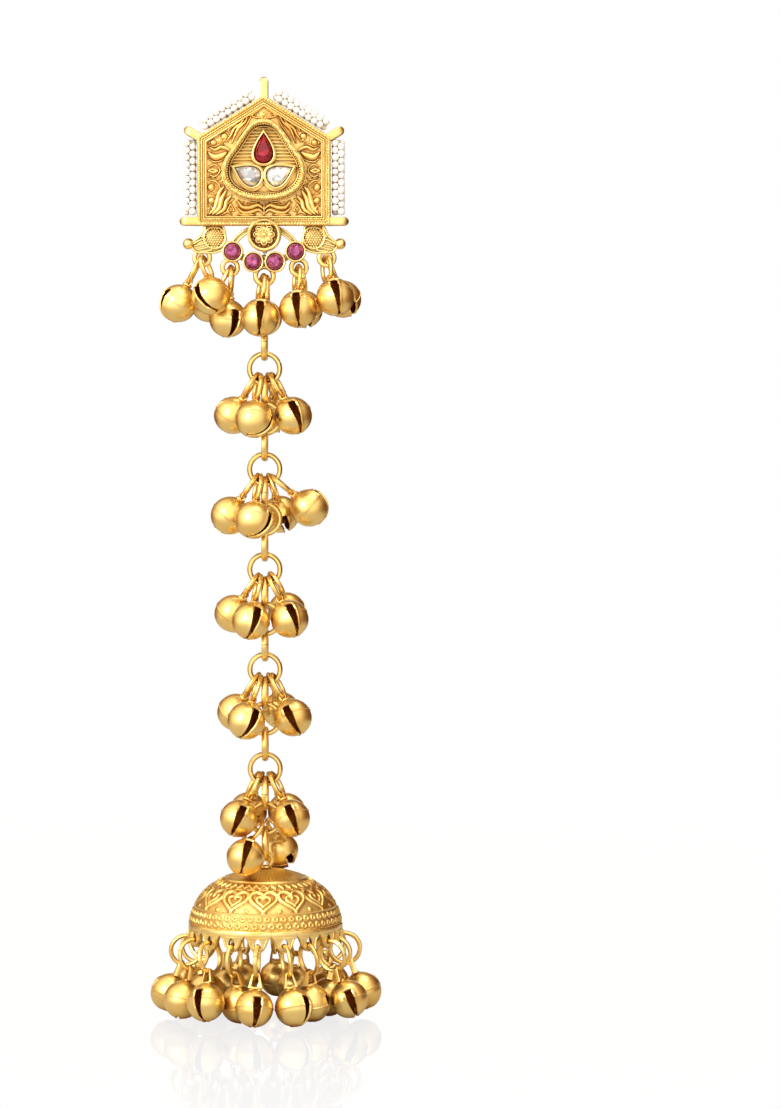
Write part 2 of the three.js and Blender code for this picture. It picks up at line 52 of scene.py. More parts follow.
def house(inset):
    """Corners of the plate's outline, moved inwards by inset, from the lower left, anticlockwise."""
    w = HEAD["half"] - inset
    slope = (HEAD["apex"] - HEAD["shoulder"]) / HEAD["half"]
    peak = HEAD["apex"] - inset * math.hypot(1, slope)
    return [(-w, HEAD["bottom"] + inset), (w, HEAD["bottom"] + inset), (w, peak - w * slope), (0, peak),
            (-w, peak - w * slope)]


def pick(*pieces):
    bpy.ops.object.select_all(action="DESELECT")
    for piece in pieces:
        piece.select_set(True)
    bpy.context.view_layer.objects.active = pieces[0]


def settle(piece):
    """Puts the place, turn and size of a piece into its mesh."""
    pick(piece)
    bpy.ops.object.transform_apply(location=True, rotation=True, scale=True)
    return piece


def weld(piece):
    """Merges doubled points and turns all faces outwards."""
    pick(piece)
    bpy.ops.object.mode_set(mode="EDIT")
    bpy.ops.mesh.select_all(action="SELECT")
    bpy.ops.mesh.remove_doubles(threshold=SAME_POINT)
    bpy.ops.mesh.normals_make_consistent(inside=False)
    bpy.ops.object.mode_set(mode="OBJECT")
    return piece


def apply_modifiers(piece):
    pick(piece)
    for modifier in list(piece.modifiers):
        bpy.ops.object.modifier_apply(modifier=modifier.name)
    return piece


def one(name, *pieces):
    """Several parts that are soldered together, as one piece."""
    pick(*pieces)
    if len(pieces) > 1:
        bpy.ops.object.join()
    pieces[0].name = name
    return pieces[0]


def flat_piece(name, outlines, back, front, edge):
    """Sheet cut to outlines of (x, z) in the plane of the plate, with its edges rounded by edge."""
    drawn = bpy.data.curves.new(name, "CURVE")
    drawn.dimensions, drawn.fill_mode = "2D", "BOTH"
    for corners in outlines:
        line = drawn.splines.new("POLY")
        line.points.add(len(corners) - 1)
        for point, (x, z) in zip(line.points, corners):
            point.co = (x, z, 0, 1)
        line.use_cyclic_u = True
    drawn.extrude = (back - front) / 2 - edge
    drawn.bevel_depth, drawn.bevel_resolution, drawn.offset = edge, 1, -edge
    piece = bpy.data.objects.new(name, drawn)
    bpy.context.collection.objects.link(piece)
    piece.rotation_euler = (math.pi / 2, 0, 0)
    piece.location = (0, (back + front) / 2, 0)
    pick(piece)
    bpy.ops.object.convert(target="MESH")
    return weld(settle(bpy.context.active_object))


def wire(name, points, radius, closed=False, sides=3):
    """Round wire along points of (x, y, z)."""
    drawn = bpy.data.curves.new(name, "CURVE")
    drawn.dimensions, drawn.bevel_depth, drawn.bevel_resolution = "3D", radius, sides
    drawn.use_fill_caps = True
    line = drawn.splines.new("POLY")
    line.points.add(len(points) - 1)
    for point, (x, y, z) in zip(line.points, points):
        point.co = (x, y, z, 1)
    line.use_cyclic_u = closed
    piece = bpy.data.objects.new(name, drawn)
    bpy.context.collection.objects.link(piece)
    pick(piece)
    bpy.ops.object.convert(target="MESH")
    return weld(bpy.context.active_object)


def walk(points, step, closed):
    """Even steps along a path of (x, z) points, with the direction of the path at each."""
    ends = np.array(points + points[:1] if closed else points, dtype=float)
    runs = np.hypot(*np.diff(ends, axis=0).T)
    reach = np.concatenate([[0], np.cumsum(runs)])
    count = max(2, round(reach[-1] / step))
    at = np.linspace(0, reach[-1], count, endpoint=not closed)
    x, z = (np.interp(at, reach, ends[:, k]) for k in (0, 1))
    along = np.stack([np.gradient(x), np.gradient(z)], axis=1)
    if closed:
        along = np.stack([np.roll(x, -1) - np.roll(x, 1), np.roll(z, -1) - np.roll(z, 1)], axis=1)
    along /= np.linalg.norm(along, axis=1)[:, None]
    return at, np.stack([x, z], axis=1), along


def rope(name, points, y, strand, pitch, closed=False):
    """Two strands twisted about a path that lies in the plane of the plate."""
    at, spots, along = walk(points, pitch / 9, closed)
    length = at[-1] + (at[1] if closed else 0)
    turns = 2 * math.pi * round(length / pitch) / length
    made = []
    for start in (0, math.pi):
        angle = turns * at + start
        sideways = strand * np.cos(angle)
        line = [(px - tz * s, y + strand * math.sin(a), pz + tx * s)
                for (px, pz), (tx, tz), s, a in zip(spots, along, sideways, angle)]
        made.append(wire(name, line, strand * 1.05, closed, sides=1))
    return one(name, *made)


# The pattern of the ground, drawn for the right half and mirrored: ridges with the places
# that they run through as (x, z), half their width, their height and whether they taper.
RIDGES = [
    ([(0.75, 4.15), (1.9, 3.0), (0.2, 2.62)], 0.16, 0.34, False),
    ([(0.0, 4.75), (1.25, 3.75), (2.35, 3.1)], 0.2, 0.4, False),
    ([(2.6, 3.15), (3.15, 2.0), (4.3, 0.9), (4.9, -0.4), (5.35, -1.5)], 0.24, 0.42, True),
    ([(3.1, 3.0), (3.75, 1.9), (4.9, 0.95), (5.5, -0.2), (6.3, -1.25)], 0.24, 0.4, True),
    ([(3.7, 2.75), (4.5, 1.85), (5.6, 1.1), (6.0, 0.45)], 0.22, 0.38, True),
    ([(4.9, 2.0), (6.3, 1.35), (7.9, 0.25), (8.9, -0.6)], 0.2, 0.36, True),
    ([(9.1, -2.1), (8.1, -2.55), (7.1, -2.1), (6.2, -2.35), (5.4, -2.9)], 0.3, 0.42, True),
    ([(9.15, -3.0), (8.2, -3.75), (7.0, -3.5), (6.2, -3.0)], 0.52, 0.42, True),
    ([(9.2, -3.85), (8.4, -4.5), (7.2, -4.4), (6.3, -3.85)], 0.16, 0.34, True),
    ([(8.95, -5.25), (8.0, -5.0), (7.25, -5.95), (8.0, -6.9), (8.9, -6.75)], 0.17, 0.36, False),
    ([(9.2, -6.0), (8.5, -5.7), (7.7, -6.0), (8.4, -6.3), (9.2, -6.0)], 0.2, 0.36, False),
    ([(9.1, -7.55), (8.2, -7.65), (7.4, -8.3), (7.2, -9.2)], 0.2, 0.34, True),
    ([(9.0, -13.1), (8.2, -12.2), (7.75, -10.9), (7.35, -9.5), (6.6, -8.6)], 0.42, 0.42, True),
    ([(8.5, -13.2), (7.4, -12.1), (7.0, -10.6), (6.2, -9.2)], 0.42, 0.45, True),
    ([(7.9, -13.25), (6.6, -12.3), (6.2, -11.0), (5.4, -10.1)], 0.38, 0.42, True),
    ([(7.0, -13.3), (6.1, -12.8), (5.3, -13.2)], 0.2, 0.36, True),
    ([(5.5, -11.45), (6.1, -12.6), (4.9, -12.6), (5.5, -11.45)], 0.15, 0.34, False),
    ([(4.3, -10.9), (3.6, -11.9), (2.3, -12.0), (1.0, -11.6), (0.15, -12.2)], 0.4, 0.42, True),
    ([(4.5, -12.0), (3.4, -12.85), (2.1, -12.75), (0.9, -12.4), (0.15, -13.0)], 0.34, 0.42, True),
    ([(4.4, -13.15), (3.0, -13.3), (1.4, -13.2)], 0.22, 0.36, True),
    ([(0.0, -11.2), (0.0, -13.2)], 0.16, 0.42, False),
    ([(1.7, 4.15), (3.4, 3.1), (5.4, 2.15), (7.2, 1.05), (9.0, 0.0)], 0.11, 0.22, False),
    ([(9.25, -1.55), (8.3, -2.05), (7.2, -1.6), (6.6, -1.75)], 0.14, 0.28, True),
    ([(2.05, 2.95), (2.45, 2.3), (3.1, 1.1), (3.9, 0.0), (4.5, -1.1)], 0.15, 0.3, True),
    ([(5.9, -1.3), (6.5, -0.95), (6.9, -1.5)], 0.13, 0.28, True),
    ([(6.4, -4.9), (6.95, -5.4), (6.9, -6.3)], 0.16, 0.3, True),
    ([(9.2, -7.1), (8.4, -7.2), (7.6, -7.5), (6.9, -7.0)], 0.13, 0.28, True),
    ([(7.1, -8.1), (6.5, -8.2), (6.2, -8.6)], 0.15, 0.3, True),
    ([(9.2, -9.8), (8.7, -9.75), (8.1, -9.95)], 0.12, 0.26, True),
    ([(9.2, -11.8), (8.7, -11.9), (8.5, -12.6)], 0.16, 0.3, True),
    ([(9.25, -13.35), (8.9, -13.0), (8.9, -12.3)], 0.14, 0.28, True),
    ([(6.0, -11.5), (5.4, -10.9), (4.9, -10.6)], 0.16, 0.3, True),
    ([(4.7, -11.2), (4.0, -11.35), (3.2, -11.1)], 0.15, 0.28, True),
    ([(2.9, -11.35), (1.8, -11.2), (0.8, -11.15)], 0.15, 0.28, True),
    ([(0.9, 3.55), (1.55, 3.1)], 0.1, 0.22, False),
]
# The balls of the ground: x, z and radius.
BALLS = [(6.55, -0.35, 0.58), (8.35, -1.35, 0.52), (7.35, -0.95, 0.3), (8.72, -8.75, 0.62),
         (8.72, -10.9, 0.56), (5.5, -12.25, 0.2), (0.0, 3.25, 0.34), (8.35, -6.0, 0.16), (6.9, -7.6, 0.28),
         (9.0, 0.3, 0.24)]


def bowed(points, steps=10):
    """A smooth line through a few points."""
    p = np.array([points[0], *points, points[-1]], dtype=float)
    t = np.linspace(0, 1, steps, endpoint=False)[:, None]
    runs = [0.5 * (2 * b + (c - a) * t + (2 * a - 5 * b + 4 * c - d) * t**2 + (3 * b - a - 3 * c + d) * t**3)
            for a, b, c, d in zip(p, p[1:], p[2:], p[3:])]
    return np.concatenate([*runs, p[-1:]])


def near_line(x, z, points):
    """How far each x, z lies from a line of points, and at what share of its runs it comes nearest."""
    near = np.full(x.shape, 9.0)
    where = np.zeros(x.shape)
    runs = len(points) - 1
    for k, ((ax, az), (bx, bz)) in enumerate(zip(points, points[1:])):
        ux, uz = bx - ax, bz - az
        t = np.clip(((x - ax) * ux + (z - az) * uz) / (ux * ux + uz * uz + 1e-12), 0, 1)
        d = np.hypot(x - ax - t * ux, z - az - t * uz)
        closer = d < near
        near = np.where(closer, d, near)
        where = np.where(closer, (k + t) / runs, where)
    return near, where


def rounded(d, half, top):
    """Height of a rounded ridge or bead at the distance d from its middle."""
    return top * np.sqrt(np.clip(1 - (d / half) ** 2, 0, None))


def raise_ridge(height, x, z, points, half, top, tapers):
    """Lifts a rounded ridge out of a sheet whose points lie at x, z."""
    bends = len(points) > 2 and points[0] != points[-1]
    near, where = near_line(x, z, bowed(points) if bends else np.array(points, dtype=float))
    width = half * (0.25 + 0.75 * np.sin(np.pi * np.clip(where, 0.02, 0.98)) ** 0.7) if tapers else half
    return np.maximum(height, rounded(near, width, top))


def raise_ball(height, x, z, cx, cz, r):
    """Lifts a ball with a fine collar round its foot."""
    d = np.hypot(x - cx, z - cz)
    collar = 0.1 * np.exp(-(((d - r * 1.3) / 0.09) ** 2))
    return np.maximum(height, np.maximum(rounded(d, r, 0.85 * r), collar))


def soften(height, spread):
    """A blurred copy of a height map, to find its hollows with."""
    reach = int(3 * spread) + 1
    kernel = np.exp(-0.5 * (np.arange(-reach, reach + 1) / spread) ** 2)
    kernel /= kernel.sum()

    def blurred(row):
        return np.convolve(np.pad(row, reach, mode="edge"), kernel, "valid")

    for axis in (0, 1):
        height = np.apply_along_axis(blurred, axis, height)
    return height


def points_of(piece):
    """The points of a piece's mesh, one a row."""
    return np.array([point.co for point in piece.data.vertices])


def store_hollows(piece, hollows):
    """Keeps how deep each point lies in a hollow, for the dark that stays there after polishing, or for
    painted shade inside a closed-in part.
    """
    layer = piece.data.attributes.new("hollow", "FLOAT", "POINT")
    layer.data.foreach_set("value", np.asarray(hollows, dtype=np.float32).ravel())


def ground_relief():
    """The raised pattern as one closed sheet: a fine grid, lifted and then cut to the gable."""
    (left, bottom), (right, _), _, (_, top), _ = house(HEAD["border"] - 0.1)
    step = 0.075
    columns, rows = round((right - left) / step), round((top - bottom) / step)
    bpy.ops.mesh.primitive_grid_add(x_subdivisions=columns, y_subdivisions=rows, size=1)
    piece = bpy.context.active_object
    spots = points_of(piece).reshape(rows + 1, columns + 1, 3)
    x = left + (spots[..., 0] + 0.5) * (right - left)
    z = bottom + (spots[..., 1] + 0.5) * (top - bottom)
    half_x = np.abs(x)
    height = np.zeros(x.shape)
    for ridge in RIDGES:
        height = raise_ridge(height, half_x, z, *ridge)
    for ball in BALLS:
        height = raise_ball(height, half_x, z, *ball)
    rng = np.random.default_rng(7)
    height = height + soften(rng.normal(0, 0.05, x.shape), 2.2)
    hollows = np.clip((soften(height, 4.5) - height) * 4.5, 0, 1)
    spots = np.stack([x, np.full(x.shape, HEAD["ground"]) - height, z], axis=-1)
    piece.data.vertices.foreach_set("co", spots.ravel())
    store_hollows(piece, hollows)
    pick(piece)
    bpy.ops.object.mode_set(mode="EDIT")
    slope = (HEAD["apex"] - HEAD["shoulder"]) / HEAD["half"]
    for side in (-1, 1):
        bpy.ops.mesh.select_all(action="SELECT")
        bpy.ops.mesh.bisect(plane_co=(0, 0, top), plane_no=(side * slope, 0, 1), clear_outer=True)
    bpy.ops.mesh.select_all(action="SELECT")
    bpy.ops.mesh.region_to_loop()
    bpy.ops.mesh.extrude_region_move(TRANSFORM_OT_translate={"value": (0, 0.5, 0)})
    bpy.ops.mesh.edge_face_add()
    bpy.ops.mesh.select_all(action="SELECT")
    bpy.ops.mesh.normals_make_consistent(inside=False)
    bpy.ops.object.mode_set(mode="OBJECT")
    piece.name = "plate_ground"
    return piece


def node_group(name, inputs, outputs):
    """A group with inputs of (name, kind, value) and outputs of (name, kind), and its two ends."""
    group = bpy.data.node_groups.new(name, "ShaderNodeTree")
    for label, kind, value in inputs:
        socket = group.interface.new_socket(name=label, in_out="INPUT", socket_type=kind)
        if value is not None:
            socket.default_value = value
    for label, kind in outputs:
        group.interface.new_socket(name=label, in_out="OUTPUT", socket_type=kind)
    return group, group.nodes.new("NodeGroupInput"), group.nodes.new("NodeGroupOutput")


def feed(group, socket, value):
    """Links a socket to another one, or sets it to a plain value."""
    if isinstance(value, bpy.types.NodeSocket):
        group.links.new(value, socket)
    else:
        socket.default_value = value


def math_node(group, operation, a, b, clamp=False):
    node = group.nodes.new("ShaderNodeMath")
    node.operation, node.use_clamp = operation, clamp
    feed(group, node.inputs[0], a)
    feed(group, node.inputs[1], b)
    return node.outputs[0]


def noise_node(group, where, scale, detail, rough):
    node = group.nodes.new("ShaderNodeTexNoise")
    node.inputs["Scale"].default_value = scale
    node.inputs["Detail"].default_value = detail
    node.inputs["Roughness"].default_value = rough
    group.links.new(where, node.inputs["Vector"])
    return node.outputs["Fac"]


def mix_colours(group, share, a, b):
    """From colour a to colour b. A mix node keeps its colours in sockets 6 and 7 and its result in 2."""
    node = group.nodes.new("ShaderNodeMix")
    node.data_type = "RGBA"
    for socket, value in ((0, share), (6, a), (7, b)):
        feed(group, node.inputs[socket], value)
    return node.outputs[2]


def new_finish(name):
    """A new finish, with its nodes and its shader."""
    finish = bpy.data.materials.new(name)
    finish.use_nodes = True
    return finish, finish.node_tree, finish.node_tree.nodes["Principled BSDF"]


# Gilt brass that has been darkened and polished back: bright on top, brown in the hollows, which is partly
# patina and partly painted shade.
gilding, given, made = node_group(
    "Gilding with patina and painted shade",
    [("Bright", "NodeSocketColor", (0.9, 0.6, 0.2, 1)), ("Warm", "NodeSocketColor", (0.8, 0.42, 0.1, 1)),
     ("Dark", "NodeSocketColor", (0.2, 0.08, 0.02, 1)), ("Hollow", "NodeSocketFloat", 0.0),
     ("Where", "NodeSocketVector", None)],
    [("Color", "NodeSocketColor"), ("Roughness", "NodeSocketFloat"), ("Height", "NodeSocketFloat")])
cloud = noise_node(gilding, given.outputs["Where"], 260, 3, 0.55)
grain = noise_node(gilding, given.outputs["Where"], 2600, 4, 0.6)
cloudy = math_node(gilding, "MULTIPLY", math_node(gilding, "SUBTRACT", cloud, 0.38, True), 2.2, True)
toned = mix_colours(gilding, cloudy, given.outputs["Bright"], given.outputs["Warm"])
uneven = math_node(gilding, "ADD", math_node(gilding, "MULTIPLY", grain, 0.7), 0.65)
# Painted shade and patina: the colour goes towards Dark as far as the Hollow mask reaches.
dark = math_node(gilding, "MULTIPLY", given.outputs["Hollow"], uneven, True)
gilding.links.new(mix_colours(gilding, dark, toned, given.outputs["Dark"]), made.inputs["Color"])
rough = math_node(gilding, "ADD", math_node(gilding, "MULTIPLY", grain, 0.16), 0.24)
gilding.links.new(math_node(gilding, "ADD", rough, math_node(gilding, "MULTIPLY", dark, 0.3)),
                  made.inputs["Roughness"])
dented = math_node(gilding, "ADD", grain, math_node(gilding, "MULTIPLY", cloud, 6.0))
gilding.links.new(dented, made.inputs["Height"])


def gilt(name, bright, warm, dark, hollow_reach, hollow_gain, bump, stored=False):
    """A gilt finish. Its hollows are the stored ones of a relief or are found within hollow_reach, and the
    dark in the found ones is painted shade.
    """
    finish, tree, metal = new_finish(name)
    metal.inputs["Metallic"].default_value = 1.0
    where = tree.nodes.new("ShaderNodeTexCoord")
    group = tree.nodes.new("ShaderNodeGroup")
    group.node_tree = gilding
    group.inputs["Bright"].default_value = (*bright, 1)
    group.inputs["Warm"].default_value = (*warm, 1)
    group.inputs["Dark"].default_value = (*dark, 1)
    tree.links.new(where.outputs["Object"], group.inputs["Where"])
    # Painted shade: the colour darkens wherever the surface is closed in by itself or by parts nearby, within
    # hollow_reach.
    occlusion = tree.nodes.new("ShaderNodeAmbientOcclusion")
    occlusion.samples = 6
    occlusion.inputs["Distance"].default_value = hollow_reach
    closed_in = math_node(tree, "SUBTRACT", 1.0, occlusion.outputs["AO"])
    closed_in = math_node(tree, "SUBTRACT", closed_in, 0.3, True)
    closed_in = math_node(tree, "MULTIPLY", closed_in, hollow_gain, True)
    if stored:
        layer = tree.nodes.new("ShaderNodeAttribute")
        layer.attribute_name = "hollow"
        closed_in = math_node(tree, "MAXIMUM", closed_in, layer.outputs["Fac"])
    tree.links.new(closed_in, group.inputs["Hollow"])
    tree.links.new(group.outputs["Color"], metal.inputs["Base Color"])
    tree.links.new(group.outputs["Roughness"], metal.inputs["Roughness"])
    relief = tree.nodes.new("ShaderNodeBump")
    relief.inputs["Strength"].default_value = bump
    relief.inputs["Distance"].default_value = 0.00004
    tree.links.new(group.outputs["Height"], relief.inputs["Height"])
    tree.links.new(relief.outputs["Normal"], metal.inputs["Normal"])
    return finish


PLATE_GILT = gilt("Plate gilding", (0.95, 0.73, 0.28), (0.9, 0.56, 0.15), (0.33, 0.11, 0.02), 0.001, 2.0,
                  0.35, stored=True)


def put(piece, finish, body, slot, *nodes, smooth=35):
    """Brings a finished piece to metres, gives it its finish and puts it on its body."""
    piece.data.transform(Matrix.Scale(0.001, 4))
    piece.data.materials.clear()
    piece.data.materials.append(finish)
    pick(piece)
    bpy.ops.object.shade_smooth_by_angle(angle=math.radians(smooth))
    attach(piece, body)
    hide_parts(*nodes)
    return piece


put(ground_relief(), PLATE_GILT, "head", "gold", "head_plate")

plate_back = flat_piece("plate_back", [house(0)], 0, HEAD["ground"] + 0.2, 0.15)
plate_border = flat_piece("plate_border", [house(0.05), house(HEAD["border"])], -1.0, HEAD["front"] + 0.3,
                          0.12)
ropes = []
for inset, strand, pitch in ((0.3, 0.17, 0.52), (1.08, 0.1, 0.34)):
    corners = house(inset)
    ropes += [rope("border_rope", [a, b], HEAD["front"] + 0.2, strand, pitch)
              for a, b in zip(corners, corners[1:] + corners[:1])]
lines = [wire("border_line", [(x, HEAD["front"] + 0.3, z) for x, z in house(inset)], radius, True)
         for inset, radius in ((0.72, 0.17), (1.42, 0.2))]
put(one("plate_border", plate_border, plate_back, *lines, *ropes), PLATE_GILT, "head", "gold", "head_plate")

# The back of the plate is plain: a shallow tray inside a lip.
tray = flat_piece("plate_back_lip", [house(0.1), house(1.3)], 0, -1.2, 0.2)
put(tray, PLATE_GILT, "head", "gold", "head_plate")


# ---- Drop-shaped frame ----
# A tall wall bent to a drop and soldered on the plate, with a rope along its rim and fine teeth
# round its inside. Its floor is ribbed beside the upper stone and plain below the lower two; any dark there
# is the painted shade of its gilding.

DROP = {"foot": -2.75, "floor": -3.4, "front": -6.3, "wall": 0.75, "top": 2.4, "half": 6.2, "low": -10.9}
RIBS = {"count": 11, "top": 0.9, "pitch": 0.56, "wire": 0.2}


def bezier(a, b, c, d):
    """A curve from a to d that leaves towards b and comes in from c, without its last point."""
    t = np.linspace(0, 1, 16, endpoint=False)[:, None]
    a, b, c, d = (np.array(p) for p in (a, b, c, d))
    return a * (1 - t) ** 3 + 3 * b * t * (1 - t) ** 2 + 3 * c * t**2 * (1 - t) + d * t**3


def drop_outline(inset):
    """Outline of the drop, moved inwards by inset, anticlockwise."""
    top, waist, low = DROP["top"] - inset, DROP["half"] - inset, DROP["low"] + inset
    half = np.concatenate([
        bezier((0, top), (2.4, top), (3.4 - inset, -0.4), (waist, -3.9)),
        bezier((waist, -3.9), (7.8 - inset, -6.8), (6.6 - inset, low), (0, low))])
    left = half[1:][::-1] * (-1, 1)
    return [tuple(p) for p in np.concatenate([half, [(0, low)], left])][::-1]


def built(name, points, edges, faces):
    """A piece made straight from its points, edges and faces."""
    mesh = bpy.data.meshes.new(name)
    mesh.from_pydata(points, edges, faces)
    piece = bpy.data.objects.new(name, mesh)
    bpy.context.collection.objects.link(piece)
    return piece


def copies(name, pattern, places):
    """One mesh of many copies of pattern, each moved by its own matrix. The pattern is used up."""
    count = len(pattern.data.vertices)
    spots = np.c_[points_of(pattern), np.ones(count)]
    corners = [tuple(face.vertices) for face in pattern.data.polygons]
    moved = np.concatenate([(spots @ np.array(m.transposed()))[:, :3] for m in places])
    faces = [tuple(v + k * count for v in face) for k in range(len(places)) for face in corners]
    bpy.data.objects.remove(pattern)
    return built(name, moved, [], faces)


def tooth(radius, length):
    """A rod that lies front to back, rounded at its front end."""
    bpy.ops.object.select_all(action="DESELECT")
    bpy.ops.mesh.primitive_cylinder_add(vertices=8, radius=radius, depth=length,
                                        rotation=(math.pi / 2, 0, 0))
    rod = settle(bpy.context.active_object)
    bevel = rod.modifiers.new("Round", "BEVEL")
    bevel.width, bevel.segments, bevel.limit_method = radius * 0.5, 2, "ANGLE"
    return apply_modifiers(rod)


def teeth_along(name, points, y, radius, length, spacing):
    """A closed row of teeth. Each lies front to back with its middle at y."""
    _, spots, _ = walk(points, spacing, True)
    return copies(name, tooth(radius, length), [Matrix.Translation((px, y, pz)) for px, pz in spots])


def width_at(outline_points, z):
    """Half the width of a closed outline at the height z."""
    found = [abs(ax + (bx - ax) * (z - az) / (bz - az))
             for (ax, az), (bx, bz) in zip(outline_points, outline_points[1:] + outline_points[:1])
             if (az - z) * (bz - z) < 0]
    return max(found)


frame_wall = flat_piece("frame_wall", [drop_outline(0.08), drop_outline(DROP["wall"])], DROP["foot"],
                        DROP["front"] + 0.4, 0.06)
frame_rope = rope("frame_rope", drop_outline(0.38), DROP["front"] + 0.4, 0.18, 0.5, closed=True)
frame_foot = wire("frame_foot", [(x, HEAD["ground"] - 0.1, z) for x, z in drop_outline(-0.05)], 0.2,
                  True)
inner_teeth = teeth_along("inner_teeth", drop_outline(0.8), -4.55, 0.15, 2.4, 0.4)
outer_teeth = teeth_along("outer_teeth", drop_outline(0.06), -4.5, 0.1, 2.4, 0.36)
frame_floor = flat_piece("frame_floor", [drop_outline(0.5)], DROP["foot"], DROP["floor"], 0.02)
inside = drop_outline(0.85)
ribs = []
rib_y = DROP["floor"] - 0.08
for k in range(RIBS["count"]):
    z = RIBS["top"] - RIBS["pitch"] * k
    reach = width_at(inside, z)
    ribs.append(wire("frame_rib", [(-reach, rib_y, z), (reach, rib_y, z)], RIBS["wire"]))
ledge = wire("frame_ledge", [(x, -3.9, z) for x, z in drop_outline(1.15)], 0.13, True)
put(one("frame", frame_wall, frame_rope, frame_foot, inner_teeth, outer_teeth, frame_floor, *ribs, ledge),
    PLATE_GILT, "head", "gold", "head_plate")


# ---- Pear stones ----
# One crimson and two clear pear-cut stones, foil-backed, each in a thin bezel that is burnished
# bright. The lower two lie point outwards on a smooth raised seat.

# Each stone: x and z of its middle, half its width, half its length and how far it is turned.
PEARS = {"red": (0.0, -2.3, 1.65, 2.5, 0), "left": (-2.75, -6.6, 1.75, 2.35, 63),
         "right": (2.75, -6.6, 1.75, 2.35, -63)}


def pear(stone, grow, sides=56, shrink=1.0):
    """Outline of a pear-cut stone with its point up before it is turned about its middle."""
    x, z, w, h, degrees = stone
    turn = math.radians(degrees)
    points = []
    for i in range(sides):
        t = 2 * math.pi * i / sides
        px = -(w + grow) * math.sin(t) * abs(math.sin(t / 2)) ** 1.2 * 1.25 * shrink
        pz = (h + grow) * math.cos(t) * shrink
        points.append((x + px * math.cos(turn) - pz * math.sin(turn),
                       z + px * math.sin(turn) + pz * math.cos(turn)))
    return points


def cut_stone(name, rings):
    """A faceted stone: the tight skin over rings of points, each a list of (x, y, z)."""
    stone = built(name, [p for ring in rings for p in ring], [], [])
    pick(stone)
    bpy.ops.object.mode_set(mode="EDIT")
    bpy.ops.mesh.select_all(action="SELECT")
    bpy.ops.mesh.convex_hull()
    bpy.ops.mesh.normals_make_consistent(inside=False)
    bpy.ops.object.mode_set(mode="OBJECT")
    return stone


def gem(name, deep, light, metallic, glint_scale):
    """Cut glass on foil, with painted glints: patches of light and dark stand for the light that the
    underside's facet faces catch.
    """
    finish, tree, glass = new_finish(name)
    glass.inputs["Metallic"].default_value = metallic
    glass.inputs["Roughness"].default_value = 0.12
    glass.inputs["Specular IOR Level"].default_value = 0.5
    glass.inputs["Coat Weight"].default_value = 0.6
    glass.inputs["Coat Roughness"].default_value = 0.03
    where = tree.nodes.new("ShaderNodeTexCoord")
    # Painted glints: each Voronoi cell is a patch of lighter or darker colour.
    facet_glints = tree.nodes.new("ShaderNodeTexVoronoi")
    facet_glints.inputs["Scale"].default_value = glint_scale
    tree.links.new(where.outputs["Object"], facet_glints.inputs["Vector"])
    split = tree.nodes.new("ShaderNodeSeparateColor")
    tree.links.new(facet_glints.outputs["Color"], split.inputs[0])
    patch = math_node(tree, "POWER", split.outputs[0], 1.6)
    tree.links.new(mix_colours(tree, patch, (*deep, 1), (*light, 1)), glass.inputs["Base Color"])
    return finish


RED_GLASS = gem("Crimson glass", (0.18, 0.0, 0.008), (0.52, 0.01, 0.035), 0.55, 1500)
CLEAR_GLASS = gem("Clear glass on foil", (0.4, 0.4, 0.42), (0.96, 0.97, 0.96), 0.6, 1300)
BRIGHT_GILT = gilt("Burnished gilding", (0.96, 0.74, 0.3), (0.92, 0.58, 0.15), (0.28, 0.09, 0.015),
                   0.0009, 2.0, 0.12)
# The cut of a pear stone, from back to front: y, size, corners and by how many half corners it is turned.
PEAR_CUT = [(-3.75, 0.9, 20, 0), (-4.45, 1.0, 20, 0), (-4.62, 1.0, 20, 0), (-5.02, 0.83, 10, 1),
            (-5.3, 0.56, 10, 0)]
bezel_foot = DROP["floor"] + 0.2
bezels = []
for name, stone in PEARS.items():
    rings = [[(x, y, z) for x, z in pear(stone, 0, corners * 2, shrink)[offset::2]]
             for y, shrink, corners, offset in PEAR_CUT]
    piece = cut_stone(f"pear_{name}", rings)
    if name == "red":
        glass, glass_slot, seat_grow, seat_front = RED_GLASS, "red_stone", 0.62, -3.75
    else:
        glass, glass_slot, seat_grow, seat_front = CLEAR_GLASS, "clear_stone", 0.85, -4.1
    put(piece, glass, "head", glass_slot, f"pear_stone_{name}", smooth=4)
    bezels += [flat_piece("bezel", [pear(stone, 0.5), pear(stone, 0.1)], bezel_foot, -4.85, 0.08),
               wire("bezel_rim", [(x, -4.82, z) for x, z in pear(stone, 0.24)], 0.16, True),
               flat_piece("bezel_seat", [pear(stone, seat_grow)], bezel_foot, seat_front, 0.2),
               flat_piece("stone_bed", [pear(stone, 0.3)], -3.3, -3.7, 0.02)]
put(one("pear_bezels", *bezels), BRIGHT_GILT, "head", "gold", "head_plate")


# ---- Corner loops and pearl strings ----
# Five flat-strip loops stand out from the plate's corners. Between them run strings of seed
# pearls, threaded in staggered pairs so that they cover the plate's edge from front to back.

LOOP = {"width": 1.4, "across": 3.1, "strip": 0.5, "end": 0.6, "y": -2.05, "taper": 0.75}


def rounded_bar(length, across, ends):
    """Outline of a bar from x = 0 to length whose far end is rounded by ends."""
    steps = 12
    far = [(length - ends + ends * math.sin(a), (across / 2 - ends) * s + ends * math.cos(a))
           for s, a in ([(1, math.pi / 2 * i / steps) for i in range(steps + 1)]
                        + [(-1, math.pi / 2 * (1 + i / steps)) for i in range(steps + 1)])]
    return [(0, across / 2), *far, (0, -across / 2)][::-1]


